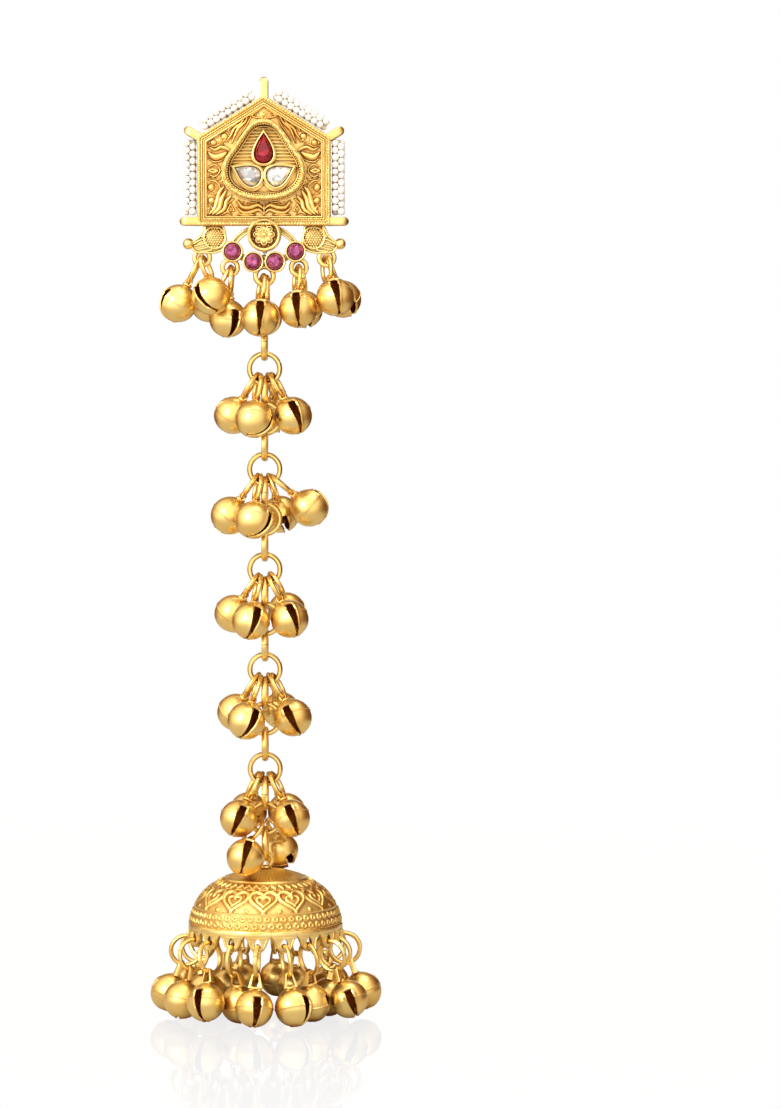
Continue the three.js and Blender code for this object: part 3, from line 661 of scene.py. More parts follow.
def corner_loop(x, z, degrees, reach):
    """A loop whose foot is at x, z. It stands out by reach, turned up from +X by degrees."""
    across, strip, taper = LOOP["across"], LOOP["strip"], LOOP["taper"]
    hole_reach = reach - LOOP["end"] - strip * 0.6
    hole = [(px + strip * 0.6, pz) for px, pz in rounded_bar(hole_reach, across - 2 * strip, 0.85)]
    loop = flat_piece("corner_loop", [rounded_bar(reach, across, 1.3), hole],
                      LOOP["width"] / 2, -LOOP["width"] / 2, 0.22)
    for point in loop.data.vertices:
        into_end = max(0.0, point.co.x - (reach - taper)) / taper
        point.co.y *= math.sqrt(max(0.12, 1 - into_end**2))
    stand = Matrix.Translation((x, LOOP["y"], z)) @ Matrix.Rotation(math.radians(-degrees), 4, "Y")
    loop.data.transform(stand @ Matrix.Rotation(math.pi / 2, 4, "X"))
    return loop


put(one("corner_loops",
        corner_loop(0, HEAD["apex"] - 0.6, 90, 3.7),
        corner_loop(HEAD["half"] - 0.5, HEAD["shoulder"] - 0.2, 31, 3.1),
        corner_loop(0.5 - HEAD["half"], HEAD["shoulder"] - 0.2, 149, 3.1),
        corner_loop(HEAD["half"] - 0.5, HEAD["bottom"] + 0.7, 0, 3.5),
        corner_loop(0.5 - HEAD["half"], HEAD["bottom"] + 0.7, 180, 3.5)),
    BRIGHT_GILT, "head", "gold", "head_plate")

lustre, pearl_tree, nacre = new_finish("Seed pearl")
nacre.inputs["Roughness"].default_value = 0.28
nacre.inputs["Coat Weight"].default_value = 0.6
nacre.inputs["Coat Roughness"].default_value = 0.12
nacre.inputs["Subsurface Weight"].default_value = 0.15
nacre.inputs["Subsurface Scale"].default_value = 0.0006
nacre.inputs["Sheen Weight"].default_value = 0.2
pearl_where = pearl_tree.nodes.new("ShaderNodeTexCoord")
blush = noise_node(pearl_tree, pearl_where.outputs["Object"], 520, 2, 0.5)
cream = mix_colours(pearl_tree, blush, (0.93, 0.92, 0.89, 1), (0.92, 0.88, 0.82, 1))
# Painted shade: the pearls darken to grey where they close in on each other and on the plate.
pearl_gap = pearl_tree.nodes.new("ShaderNodeAmbientOcclusion")
pearl_gap.samples = 6
pearl_gap.inputs["Distance"].default_value = 0.0006
shade = math_node(pearl_tree, "POWER", pearl_gap.outputs["AO"], 0.8)
pearl_tree.links.new(mix_colours(pearl_tree, shade, (0.66, 0.6, 0.54, 1), cream),
                     nacre.inputs["Base Color"])

PEARLS = {"r": 0.62, "wide": 0.5, "deep": 0.56, "pitch": 1.24, "y": -2.35, "lift": 1.27, "thread": 0.16}


def pearl_string(name, foot, peak):
    """Seed pearls in staggered pairs about the straight thread from foot to peak, as (x, z)."""
    bpy.ops.object.select_all(action="DESELECT")
    bpy.ops.mesh.primitive_uv_sphere_add(segments=20, ring_count=12, radius=PEARLS["r"])
    seed = settle(bpy.context.active_object)
    foot = Vector((foot[0], PEARLS["y"], foot[1]))
    peak = Vector((peak[0], PEARLS["y"], peak[1]))
    run = peak - foot
    across = run.normalized().cross(Vector((0, 1, 0)))
    rows = round((run.length - 0.5) / (PEARLS["pitch"] / 2))
    places = []
    rng = np.random.default_rng(len(name) + int(100 * abs(foot.z)))
    for i in range(rows + 1):
        side = 1 if i % 2 else -1
        middle = foot + run * ((0.55 + i * (run.length - 1.1) / rows) / run.length)
        for front in (-1, 1):
            swell = 1 + 0.05 * rng.standard_normal()
            at = middle + across * side * front * -PEARLS["wide"] + Vector((0, front * PEARLS["deep"], 0))
            turned = Matrix.Rotation(rng.uniform(0, 6), 4, "Y")
            places.append(Matrix.Translation(at) @ turned @ Matrix.Diagonal((swell, swell, swell * 0.93, 1)))
    return one(name, copies(name, seed, places), wire("thread", [foot, peak], PEARLS["thread"]))


roof_run = Vector((HEAD["half"], HEAD["shoulder"] - HEAD["apex"])).normalized()
out, rise = -roof_run.y * PEARLS["lift"], roof_run.x * PEARLS["lift"]
for side, label in ((-1, "left"), (1, "right")):
    wall_x = side * (HEAD["half"] + PEARLS["lift"])
    upright = pearl_string(f"pearls_side_{label}", (wall_x, HEAD["bottom"] + 1.75),
                           (wall_x, HEAD["shoulder"] - 0.45))
    put(upright, lustre, "head", "pearl", f"pearl_string_{1 if side < 0 else 2}")
    sloped = pearl_string(f"pearls_roof_{label}",
                          (side * (HEAD["half"] - 1.2 + out), HEAD["shoulder"] + 0.75 + rise),
                          (side * (1.15 + out), HEAD["apex"] - 0.7 + rise))
    put(sloped, lustre, "head", "pearl", f"pearl_string_{3 if side < 0 else 4}")


# ---- Rosette ----
# A cast flower in a deep round cup, soldered over the middle of the plate's lower edge.

# Its middle, how many petals and milled teeth it has, and how far out the teeth and petal tips stand.
ROSE = {"x": 0.0, "z": -16.5, "petals": 8, "milling": 48, "milled_r": 2.75, "tips_r": 1.98}


def turned(name, profile, sides, x=0.0, z=0.0):
    """A piece turned about an axis that runs front to back. Each profile row is (radius, y)."""
    piece = built(name, [(r, y, 0) for r, y in profile], [(i, i + 1) for i in range(len(profile) - 1)], [])
    spin = piece.modifiers.new("Turn", "SCREW")
    spin.axis, spin.steps, spin.render_steps = "Y", sides, sides
    spin.use_merge_vertices, spin.merge_threshold = True, SAME_POINT
    apply_modifiers(piece)
    piece.data.transform(Matrix.Translation((x, 0, z)))
    return weld(piece)


def torus(name, at, major, minor, rotation=(math.pi / 2, 0, 0), around=40, section=12):
    bpy.ops.object.select_all(action="DESELECT")
    bpy.ops.mesh.primitive_torus_add(location=at, rotation=rotation, major_radius=major, minor_radius=minor,
                                     major_segments=around, minor_segments=section)
    piece = settle(bpy.context.active_object)
    piece.name = name
    return piece


def ball(name, at, radius, squash=(1, 1, 1), segments=20, rings=12):
    bpy.ops.object.select_all(action="DESELECT")
    bpy.ops.mesh.primitive_uv_sphere_add(segments=segments, ring_count=rings, radius=radius, location=at)
    piece = bpy.context.active_object
    piece.scale = squash
    piece.name = name
    return settle(piece)


cup = turned("rose_cup", [(0, -1.0), (2.6, -1.0), (2.78, -1.2), (2.72, -3.3), (2.78, -3.7), (2.55, -3.9),
                          (2.25, -3.75), (2.12, -3.0), (0, -2.75)], 56, ROSE["x"], ROSE["z"])
# The inside of the cup, under the flower, is darkened all over.
cup_x, cup_y, cup_z = points_of(cup).T
inside_cup = (np.hypot(cup_x - ROSE["x"], cup_z - ROSE["z"]) < 2.2) & (cup_y < -2.5)
store_hollows(cup, np.where(inside_cup, 1.0, 0.0))
rose = [cup, torus("rose_rim", (ROSE["x"], -3.62, ROSE["z"]), 2.48, 0.26)]
petal_side = [(0.3, 0.62), (0.46, 1.0), (0.44, 1.4), (0.24, 1.66)]
petal = [(0.0, 0.42), *petal_side, (0.0, 1.74), *[(-x, z) for x, z in reversed(petal_side)]]
half_petal = math.pi / ROSE["petals"]
for k in range(ROSE["petals"]):
    place = Matrix.Translation((ROSE["x"], 0, ROSE["z"])) @ Matrix.Rotation(2 * half_petal * k, 4, "Y")
    leaf = ball("petal", (0, -2.95, 1.08), 0.45, (1, 0.7, 1.42))
    lip = wire("petal_edge", [(x, -3.1 - 0.1 * z, z) for x, z in petal], 0.1, True, 2)
    dot = ball("petal_dot", (0, -3.3, 1.25), 0.14, segments=10, rings=6)
    tip_at = (ROSE["tips_r"] * math.sin(half_petal), -2.9, ROSE["tips_r"] * math.cos(half_petal))
    tip = ball("petal_tip", tip_at, 0.17, segments=10, rings=6)
    for part in (leaf, lip, dot, tip):
        part.data.transform(place)
        rose.append(part)
rose.append(ball("rose_heart", (ROSE["x"], -3.3, ROSE["z"]), 0.46, (1, 0.7, 1)))
rose.append(torus("rose_heart_edge", (ROSE["x"], -3.25, ROSE["z"]), 0.52, 0.09, around=24, section=6))
milling = [Matrix.Translation((ROSE["milled_r"] * math.sin(a), -2.3,
                               ROSE["z"] + ROSE["milled_r"] * math.cos(a)))
           for a in np.linspace(0, 2 * math.pi, ROSE["milling"], endpoint=False)]
rose.append(copies("rose_milling", tooth(0.1, 2.0), milling))
# Antiqued gilding: its hollows are dark partly from patina and partly from painted shade.
ANTIQUED_SHADED_GILT = gilt("Antiqued gilding with painted shade", (0.96, 0.77, 0.32), (0.9, 0.6, 0.18), (0.2, 0.06, 0.012),
                     0.001, 1.9, 0.25, stored=True)
put(one("rosette", *rose), ANTIQUED_SHADED_GILT, "head", "gold", "head_plate")


# ---- Crescent with four pink stones ----
# Two curved double bands under the plate carry four deep cups with round pink stones, and the
# row of washers below them that the bells hang from.

PINK_STONES = [(-5.2, -19.3), (-1.8, -21.0), (1.8, -21.0), (5.2, -19.3)]
PINK_R = 1.35
# The cut of a pink stone, from back to front: y, radius, corners and by how many corners it is turned.
PINK_CUT = [(-3.05, 1.05, 12, 0), (-3.4, PINK_R - 0.02, 24, 0), (-3.55, PINK_R - 0.02, 24, 0),
            (-3.95, 1.08, 12, 0.5), (-4.28, 0.7, 12, 0)]
PINK_CUP = [(0, -0.8), (1.62, -0.8), (1.72, -0.95), (1.68, -3.2), (1.75, -3.45), (1.6, -3.62), (1.46, -3.55),
            (1.44, -2.8), (0, -2.7)]
# The bands: z of their middle, inner and outer radius, first and last angle, back and front.
BANDS = [(-21.3, 5.6, 6.6, 28, 152, -1.2, -2.4), (-13.15, 7.5, 8.5, 222, 318, -1.2, -2.2)]


def arc(z, r, start, end):
    return [(r * math.cos(math.radians(a)), z + r * math.sin(math.radians(a)))
            for a in np.linspace(start, end, 40)]


PINK_GLASS = gem("Pink glass", (0.2, 0.015, 0.1), (0.58, 0.13, 0.33), 0.55, 1900)
crescent = []
for z, inner, outer, start, end, back, front in BANDS:
    band = arc(z, outer - 0.1, start, end) + arc(z, inner + 0.1, end, start)
    crescent.append(flat_piece("band", [band], back, front + 0.45, 0.1))
    for r in (inner + 0.17, outer - 0.17):
        crescent.append(wire("band_edge", [(x, front + 0.32, pz) for x, pz in arc(z, r, start, end)], 0.19))
for k, (x, z) in enumerate(PINK_STONES):
    crescent.append(turned("stone_cup", PINK_CUP, 40, x, z))
    crescent.append(torus("cup_rim", (x, -3.45, z), 1.58, 0.17, section=8))
    rings = [[(x + r * math.cos(2 * math.pi * (i + offset) / corners), y,
               z + r * math.sin(2 * math.pi * (i + offset) / corners)) for i in range(corners)]
             for y, r, corners, offset in PINK_CUT]
    put(cut_stone(f"pink_stone_{k + 1}_cut", rings), PINK_GLASS, "head", "pink_stone",
        f"pink_stone_{k + 1}", smooth=4)
for x, z in ((0, -20.2), (-3.5, -20.15), (3.5, -20.15)):
    crescent.append(ball("solder", (x, -2.2, z), 0.45))
put(one("crescent", *crescent), ANTIQUED_SHADED_GILT, "head", "gold", "head_plate")

# The washers: x and z of the middle, and the radius of the hole and of the rim.
WASHERS = {"birdLeft": (-10.3, -20.3, 0.85, 1.65), "innerLeft": (-5.7, -21.9, 0.85, 1.65),
           "centre": (0.0, -23.25, 1.05, 1.9), "innerRight": (5.7, -21.9, 0.85, 1.65),
           "birdRight": (10.3, -20.3, 0.85, 1.65)}
HANG_Y = -1.8
washers = []
for x, z, hole, rim in WASHERS.values():
    washer = torus("washer", (0, 0, 0), (hole + rim) / 2, (rim - hole) / 2, around=48, section=14)
    washer.data.transform(Matrix.Translation((x, HANG_Y, z)) @ Matrix.Diagonal((1, 0.75, 1, 1)))
    washers.append(washer)
put(one("washers", *washers), BRIGHT_GILT, "head", "gold", "head_plate")


# ---- Birds ----
# A bird at each lower corner: a granulated round body, and a tail of three open feathers that
# ends in a ball.

BIRD = [(-9.7, -14.8), (-10.6, -16.7), (-11.4, -17.4), (-12.0, -17.9), (-12.0, -18.5), (-11.3, -19.3),
        (-10.2, -19.45), (-8.4, -19.45), (-7.1, -19.05), (-6.4, -18.2), (-6.4, -17.0), (-7.1, -14.8)]
FEATHERS = [[(-9.6, -17.2), (-10.6, -17.4), (-11.7, -18.0)], [(-9.5, -17.9), (-10.5, -18.1), (-11.6, -18.4)],
            [(-9.2, -18.5), (-10.1, -18.75), (-11.2, -18.95)],
            [(-8.6, -18.95), (-9.6, -19.2), (-10.6, -19.25)]]
SHOULDER = [(-9.7, -15.2), (-9.9, -16.2), (-10.3, -16.9)]
# The round of the breast: its middle, how far out its grains go and how far apart they are.
BREAST = {"x": 8.2, "y": -1.75, "z": -17.0, "grains_r": 1.55, "pitch": 0.42}
birds = []
for side in (-1, 1):
    edge = [(-side * x, z) for x, z in BIRD]
    middle_x = side * BREAST["x"]
    birds.append(flat_piece("bird_sheet", [edge if side < 0 else edge[::-1]], -1.15, -2.0, 0.1))
    birds.append(wire("bird_edge", [(x, -2.1, z) for x, z in bowed(edge + edge[:1], 5)], 0.2))
    birds.append(torus("bird_breast", (middle_x, -2.2, BREAST["z"]), 1.78, 0.2, section=8))
    birds.append(ball("bird_body", (middle_x, BREAST["y"], BREAST["z"]), 1.7, (1, 0.42, 1)))
    grains = []
    for i in range(-4, 5):
        for j in range(-4, 5):
            gx, gz = BREAST["pitch"] * (i + 0.5 * (j % 2)), 0.364 * j
            d = math.hypot(gx, gz)
            if d < BREAST["grains_r"]:
                gy = BREAST["y"] - 0.71 * math.sqrt(1 - (d / 1.72) ** 2)
                grains.append(Matrix.Translation((middle_x + gx, gy, BREAST["z"] + gz)))
    birds.append(copies("bird_grains", ball("grain", (0, 0, 0), 0.19, segments=8, rings=6), grains))
    for feather in FEATHERS:
        birds.append(wire("bird_feather", [(-side * x, -2.15, z) for x, z in bowed(feather, 6)], 0.17))
    birds.append(ball("bird_ball", (side * 12.55, -1.9, -18.0), 0.92, segments=28, rings=16))
    birds.append(torus("bird_neck", (side * 11.95, -1.9, -18.05), 0.42, 0.16, (0, math.pi / 2, 0), 20, 8))
    birds.append(wire("bird_shoulder", [(-side * x, -2.15, z) for x, z in SHOULDER], 0.18))
put(one("birds", *birds), ANTIQUED_SHADED_GILT, "head", "gold", "head_plate")


# ---- Back ring ----
# An empty ring soldered edge-on behind the rosette, for a chain over the ear.

put(torus("back_ring", (0, 0.75, -17.0), 2.2, 0.42, (0, math.pi / 2, 0), 48, 14),
    BRIGHT_GILT, "head", "gold", "head_plate")


# ---- Ear post and clutch ----
# A plain steel post soldered into a small cup, and a push-on clutch: a clear soft disc with a
# gilt barrel behind it.

# Profiles of the turned pieces, each row a radius and y.
POST_CUP = [(0, -0.1), (1.25, -0.1), (1.1, 0.05), (0.98, 0.3), (0.95, 0.7), (0.8, 0.88), (0, 0.9)]
POST = [(0, 0.9), (0.4, 0.9), (0.4, 11.1), (0.33, 11.25), (0.33, 11.5), (0.4, 11.65), (0.4, 12.9),
        (0.3, 13.5), (0.12, 13.95), (0, 14.0)]
PAD = [(0.6, 2.2), (1.6, 2.2), (1.75, 2.32), (4.7, 2.32), (4.85, 2.2), (5.25, 2.2), (5.45, 2.4), (5.45, 2.9),
       (5.25, 3.1), (4.9, 3.1), (4.75, 2.95), (3.0, 2.95), (2.85, 3.1), (0.6, 3.1), (0.6, 2.2)]
BULLET = [(0.6, 3.25), (2.6, 3.25), (2.75, 3.33), (2.75, 3.52), (2.6, 3.62), (2.1, 3.8), (1.88, 4.2),
          (1.8, 4.5), (1.8, 4.9), (1.7, 5.0), (1.7, 5.15), (1.8, 5.25), (1.8, 6.7), (1.65, 7.15), (1.3, 7.45),
          (1.12, 7.7), (1.15, 7.9), (1.35, 8.05), (1.35, 8.5), (1.25, 8.6), (0.6, 8.6), (0.6, 3.25)]
put(turned("post_cup", POST_CUP, 32), BRIGHT_GILT, "head", "gold", "head_plate")

bright_steel, steel_tree, steel = new_finish("Polished steel")
steel.inputs["Metallic"].default_value = 1.0
steel_where = steel_tree.nodes.new("ShaderNodeTexCoord")
drawn = steel_tree.nodes.new("ShaderNodeMapping")
drawn.inputs["Scale"].default_value = (4000, 150, 4000)
steel_tree.links.new(steel_where.outputs["Object"], drawn.inputs["Vector"])
streak = noise_node(steel_tree, drawn.outputs["Vector"], 1.0, 2, 0.5)
steel_tree.links.new(mix_colours(steel_tree, streak, (0.52, 0.51, 0.50, 1), (0.68, 0.67, 0.65, 1)),
                     steel.inputs["Base Color"])
steel_tree.links.new(math_node(steel_tree, "ADD", math_node(steel_tree, "MULTIPLY", streak, 0.25), 0.15),
                     steel.inputs["Roughness"])
put(turned("post", POST, 24), bright_steel, "head", "steel_post", "ear_post")

clear_soft, soft_tree, soft = new_finish("Clear soft plastic")
soft.inputs["Base Color"].default_value = (0.93, 0.95, 0.96, 1)
soft.inputs["Transmission Weight"].default_value = 0.8
soft.inputs["IOR"].default_value = 1.45
soft_where = soft_tree.nodes.new("ShaderNodeTexCoord")
haze = noise_node(soft_tree, soft_where.outputs["Object"], 700, 3, 0.6)
soft_tree.links.new(math_node(soft_tree, "ADD", math_node(soft_tree, "MULTIPLY", haze, 0.2), 0.12),
                    soft.inputs["Roughness"])
put(turned("clutch_pad", PAD, 96), clear_soft, "clutch", "clear_plastic", "clutch_disc")
put(turned("clutch_bullet", BULLET, 48), BRIGHT_GILT, "clutch", "gold", "clutch_barrel")


# ---- Ring chain ----
# Round rings of thick brass wire, closed end to end and linked at right angles. The last three
# swing with the bell cup.

LINK = {"r": 2.51, "wire": 0.42, "top": -26.0, "pitch": 4.22, "slack": 0.22, "per_length": 4, "lengths": 5,
        "last": 3, "wide": 1.3}
FIRST_LOW_LINK = LINK["per_length"] * LINK["lengths"]


def link_z(i):
    """Height of the middle of a link, counted from 0 at the top."""
    return LINK["top"] - LINK["pitch"] * i + LINK["slack"] * (i // LINK["per_length"])


def wire_ring(r, thick, joint, around, sides):
    """A ring in the XY plane, bent from wire. Its two ends meet at the angle joint."""
    gap = 0.02 / r
    points = [(r * math.cos(a), r * math.sin(a), 0)
              for a in np.linspace(joint + gap, joint + 2 * math.pi - gap, around)]
    return wire("wire_ring", points, thick, False, sides)


def chain_length(name, first, count):
    """Links turned by turns to face front and side. All but the topmost are a little oval."""
    links = []
    for i in range(first, first + count):
        ring = wire_ring(LINK["r"], LINK["wire"], 0.4 + 2.1 * i, 56, 3)
        ring.data.transform(Matrix.Diagonal((1, 1, LINK["wide"] if i else 1, 1)))
        turn = Matrix.Rotation(math.pi / 2, 4, "X" if i % 2 else "Y")
        ring.data.transform(Matrix.Translation((0.45 if i == 0 else 0, HANG_Y, link_z(i))) @ turn)
        links.append(ring)
    return one(name, *links)


WIRE_GILT = gilt("Satin gilding", (0.95, 0.73, 0.28), (0.9, 0.57, 0.15), (0.26, 0.08, 0.012),
                 0.0012, 2.0, 0.2)
for k in range(LINK["lengths"]):
    links = chain_length(f"chain_length_{k + 1}", LINK["per_length"] * k, LINK["per_length"])
    put(links, WIRE_GILT, "head", "gold", f"chain_{k + 1}")
put(chain_length("chain_length_drop", FIRST_LOW_LINK, LINK["last"]), WIRE_GILT, "drop", "gold", "chain_drop")


# ---- Slotted bells ----
# Each is two thin brass cups folded together at a seam. A slot with a lip is cut across its
# underside and up its front, and a pellet lies inside. An eye on top holds the jump ring.

BELL_R, BELL_DROP, RIM_DROP = 3.15, 7.7, 9.9
# The shell is drawn for a radius of 3, each row a radius and a height, and then brought to its size.
DRAWN_R = 3
BELL_PROFILE = [(0, 3.1), (0.45, 3.08), (0.9, 2.92), (1.4, 2.68), (1.88, 2.34), (2.32, 1.88), (2.66, 1.34),
                (2.87, 0.78), (2.96, 0.3), (2.97, 0.17), (3.04, 0.12), (3.05, 0.0), (3.02, -0.1),
                (2.94, -0.14), (2.93, -0.45), (2.82, -0.98), (2.6, -1.48), (2.25, -1.97), (1.78, -2.4),
                (1.22, -2.72), (0.6, -2.92), (0, -2.98)]
SLOT = [(0.3, -4.0), (0.36, -2.9), (0.46, -2.1), (0.6, -1.2), (0.72, -0.3), (0.82, 0.6), (0.84, 1.1),
        (0.74, 1.42), (0.5, 1.55), (0.2, 1.6)]
# How thick the sheet is, how near the middle the faces lie that the cut leaves over, how much the
# slot's lip is spread and how much its edges are rounded.
SHEET = {"wall": 0.3, "inside": 2.8, "lip": 1.035, "edge": 0.07}


def bell_shell():
    """The shell of a bell round the origin, with its slot in front."""
    shell = turned("bell_shell", BELL_PROFILE, 40)
    shell.data.transform(Matrix.Rotation(math.pi / 2, 4, "X"))
    weld(shell)
    outline = SLOT + [(-x, z) for x, z in reversed(SLOT)]
    cutter = flat_piece("slot_cutter", [outline], 0.9, -4, 0.001)
    cut = shell.modifiers.new("Slot", "BOOLEAN")
    cut.operation, cut.object, cut.solver = "DIFFERENCE", cutter, "EXACT"
    apply_modifiers(shell)
    bpy.data.objects.remove(cutter)
    bpy.ops.object.mode_set(mode="EDIT")
    bpy.ops.mesh.select_all(action="DESELECT")
    bpy.ops.object.mode_set(mode="OBJECT")
    for face in shell.data.polygons:
        face.select = face.center.length < SHEET["inside"]
    bpy.ops.object.mode_set(mode="EDIT")
    bpy.ops.mesh.delete(type="FACE")
    bpy.ops.mesh.select_mode(type="VERT")
    bpy.ops.mesh.select_non_manifold(extend=False, use_wire=False, use_boundary=True, use_multi_face=False,
                                     use_non_contiguous=False, use_verts=False)
    bpy.ops.transform.resize(value=(SHEET["lip"],) * 3, center_override=(0, 0, 0))
    bpy.ops.object.mode_set(mode="OBJECT")
    wall = shell.modifiers.new("Sheet", "SOLIDIFY")
    wall.thickness, wall.offset = SHEET["wall"], -1
    soft_edge = shell.modifiers.new("Edge", "BEVEL")
    soft_edge.width, soft_edge.segments, soft_edge.limit_method = SHEET["edge"], 2, "ANGLE"
    soft_edge.angle_limit = math.radians(60)
    apply_modifiers(shell)
    # Painted shade: the inside of the shell is darkened all over.
    inwards = 2.82 - np.linalg.norm(points_of(shell), axis=1)
    store_hollows(shell, np.clip(inwards / 0.1, 0, 1))
    shell.data.transform(Matrix.Scale(BELL_R / DRAWN_R, 4))
    return shell


# Its dark colour is painted shade: the red-brown of the bells' insides and pellets, and of the places where
# bells close in on each other.
BELL_GILT = gilt("Brushed brass gilding", (0.95, 0.73, 0.28), (0.9, 0.56, 0.14), (0.5, 0.15, 0.02),
                 0.0018, 1.9, 0.3, stored=True)
shell_pattern = bell_shell()
pellet = ball("pellet", (0.35, 0.5, -2.0), 0.55, segments=16, rings=10)
# Painted shade: the pellet is darkened because it lies inside the bell.
store_hollows(pellet, np.full(len(pellet.data.vertices), 0.9))
EYE = {"hole": 0.41, "foot": -0.62, "longer": 1.3}
eye_strip = turned("eye_strip", [(EYE["hole"], -0.42), (0.6, -0.46), (0.65, -0.2), (0.65, 0.2), (0.6, 0.46),
                                 (EYE["hole"], 0.42), (EYE["hole"], -0.42)], 24)
eye_foot = ball("eye_foot", (0, 0, EYE["foot"]), 0.85, (1, 0.75, 0.4), 20, 10)
eye_fold = ball("eye_fold", (0, 0, -0.45), 0.5, (0.9, 1.25, 0.5), 16, 8)
eye_pattern = one("eye_pattern", eye_strip, eye_foot, eye_fold)
# A bell of the rim has a wider jump ring and a longer eye than the others.
JUMP = {"r": 2.2, "rim_r": 2.5, "wire": 0.38}


def lug(half, foot, low):
    """Outline of a lug with a round top about the origin, widening to its foot."""
    top = [(half * math.cos(a), half * math.sin(a)) for a in np.linspace(0, math.pi, 10)]
    return top + [(-foot, low), (-0.5 * foot, low - 0.12), (0.5 * foot, low - 0.12), (foot, low)]


def ring_in_plane(r):
    ring = wire_ring(r, JUMP["wire"], 1.0, 40, 2)
    ring.data.transform(Matrix.Rotation(math.pi / 2, 4, "Y"))
    return ring


long_strip = flat_piece("eye_strip", [lug(0.72, 1.2, -0.6 - EYE["longer"]),
                                      lug(EYE["hole"], 0.66, -0.25 - EYE["longer"])], 0.44, -0.44, 0.09)
long_foot = ball("eye_foot", (0, 0, EYE["foot"] - EYE["longer"]), 0.85, (1, 0.75, 0.4), 20, 10)
long_eye = one("long_eye", long_strip, long_foot)
short_hanger = (eye_pattern, ring_in_plane(JUMP["r"]))
long_hanger = (long_eye, ring_in_plane(JUMP["rim_r"]))
patterns = (shell_pattern, pellet, *short_hanger, *long_hanger)


def bell_on_ring(slot, slack, roll, long=False):
    """A bell on its jump ring, hung down -Z. The top of the ring's inside lies slack above the origin."""
    if long:
        ring_r, drop, (eye, ring) = JUMP["rim_r"], RIM_DROP, long_hanger
    else:
        ring_r, drop, (eye, ring) = JUMP["r"], BELL_DROP, short_hanger
    ring_z = JUMP["wire"] + slack - ring_r
    eye_z = ring_z - ring_r + JUMP["wire"] - EYE["hole"]
    hang = Matrix.Translation((0, 0, -drop)) @ Matrix.Rotation(math.radians(slot), 4, "Z")
    made = []
    for pattern, place in ((shell_pattern, hang), (pellet, hang), (eye, Matrix.Translation((0, 0, eye_z))),
                           (ring, Matrix.Translation((0, 0, ring_z)) @ Matrix.Rotation(roll, 4, "X"))):
        part = pattern.copy()
        part.data = pattern.data.copy()
        part.data.transform(place)
        bpy.context.collection.objects.link(part)
        made.append(part)
    return one("bell", *made)


def hanging(at, along, x, y, drop=BELL_DROP):
    """Where a bell hangs whose ring bears at the point at on a wire running along. Its middle is at x, y."""
    reach = math.hypot(x - at.x, y - at.y)
    down = Vector((x - at.x, y - at.y, -math.sqrt(drop**2 - reach**2))).normalized()
    axis = (along - down * along.dot(down)).normalized()
    up = -down
    side = up.cross(axis)
    stand = Matrix((axis, side, up)).transposed().to_4x4()
    return Matrix.Translation(at) @ stand


def on_ring(x, z, hole, degrees):
    """The point inside a ring's hole, degrees round from its bottom, and the way that the wire runs."""
    a = math.radians(degrees)
    return (Vector((x + hole * math.sin(a), HANG_Y, z - hole * math.cos(a))),
            Vector((math.cos(a), 0, math.sin(a))))


# Bells of the head: name, washer, angle round the washer, where the bell's middle comes to,
# and how far it is turned.
HEAD_BELLS = [
    ("outer_left", "birdLeft", -40, -14.3, -1.6, -60), ("front_left", "birdLeft", 36, -8.6, -6.9, -25),
    ("back_left", "innerLeft", -26, -9.4, 2.9, 180), ("inner_left", "innerLeft", 24, -6.05, -1.9, 28),
    ("centre", "centre", -26, -0.6, -6.6, -14), ("inner_right", "innerRight", -22, 5.7, -6.5, -20),
    ("back_right", "innerRight", 26, 6.5, 2.9, 0), ("front_right", "birdRight", -20, 11.8, -6.6, -15),
    ("outer_right", "birdRight", 28, 12.9, 2.5, 20),
]
# Bells of the chain: name, link, angle round the link, middle, turn.
CHAIN_BELLS = [
    ("1_left", 3, -47, -5.3, 0.5, -85), ("1_front", 3, -29, -1.6, -6.0, 62),
    ("1_back", 3, 29, 1.8, 3.3, 0), ("1_right", 3, 47, 4.8, -4.8, 25),
    ("2_left", 7, -47, -5.9, -0.8, 75), ("2_front", 7, -29, -1.7, -6.0, 50),
    ("2_back", 7, 29, 2.5, 3.0, 0), ("2_right", 7, 47, 7.4, -2.0, 80),
    ("3_left", 11, -47, -5.4, 0.9, 85), ("3_front", 11, -29, -2.2, -5.8, 7),
    ("3_back", 11, 47, 3.5, 2.9, 0), ("3_right", 11, 29, 4.2, -5.1, 22),
    ("4_left", 15, -47, -5.0, 1.5, 80), ("4_front", 15, -29, -3.0, -5.6, 18),
    ("4_back", 15, 29, 2.5, 3.4, 0), ("4_right", 15, 47, 4.7, -4.8, 5),
    ("5_left", 19, -45, -4.3, -5.0, -10), ("5_back_left", 19, -29, -3.0, 3.0, 40),
    ("5_back_right", 19, 29, 3.4, 2.7, 0), ("5_right", 19, 45, 4.4, -5.0, 18),
    ("5_low_front", 21, -55, -3.1, -7.8, -35), ("5_low_back", 21, 50, 2.2, 4.2, 0),
]
# How far a jump ring keeps clear of the place that it hangs from, by what it hangs from.
SLACK = {"washer": 0.38, "link": 0.26, "low_link": 0.52, "eyelet": -0.1}
rolls = np.random.default_rng(3)


def next_roll():
    """How far the next jump ring is rolled round, so that its ends meet at a place of their own."""
    return rolls.uniform(1.2, 5)


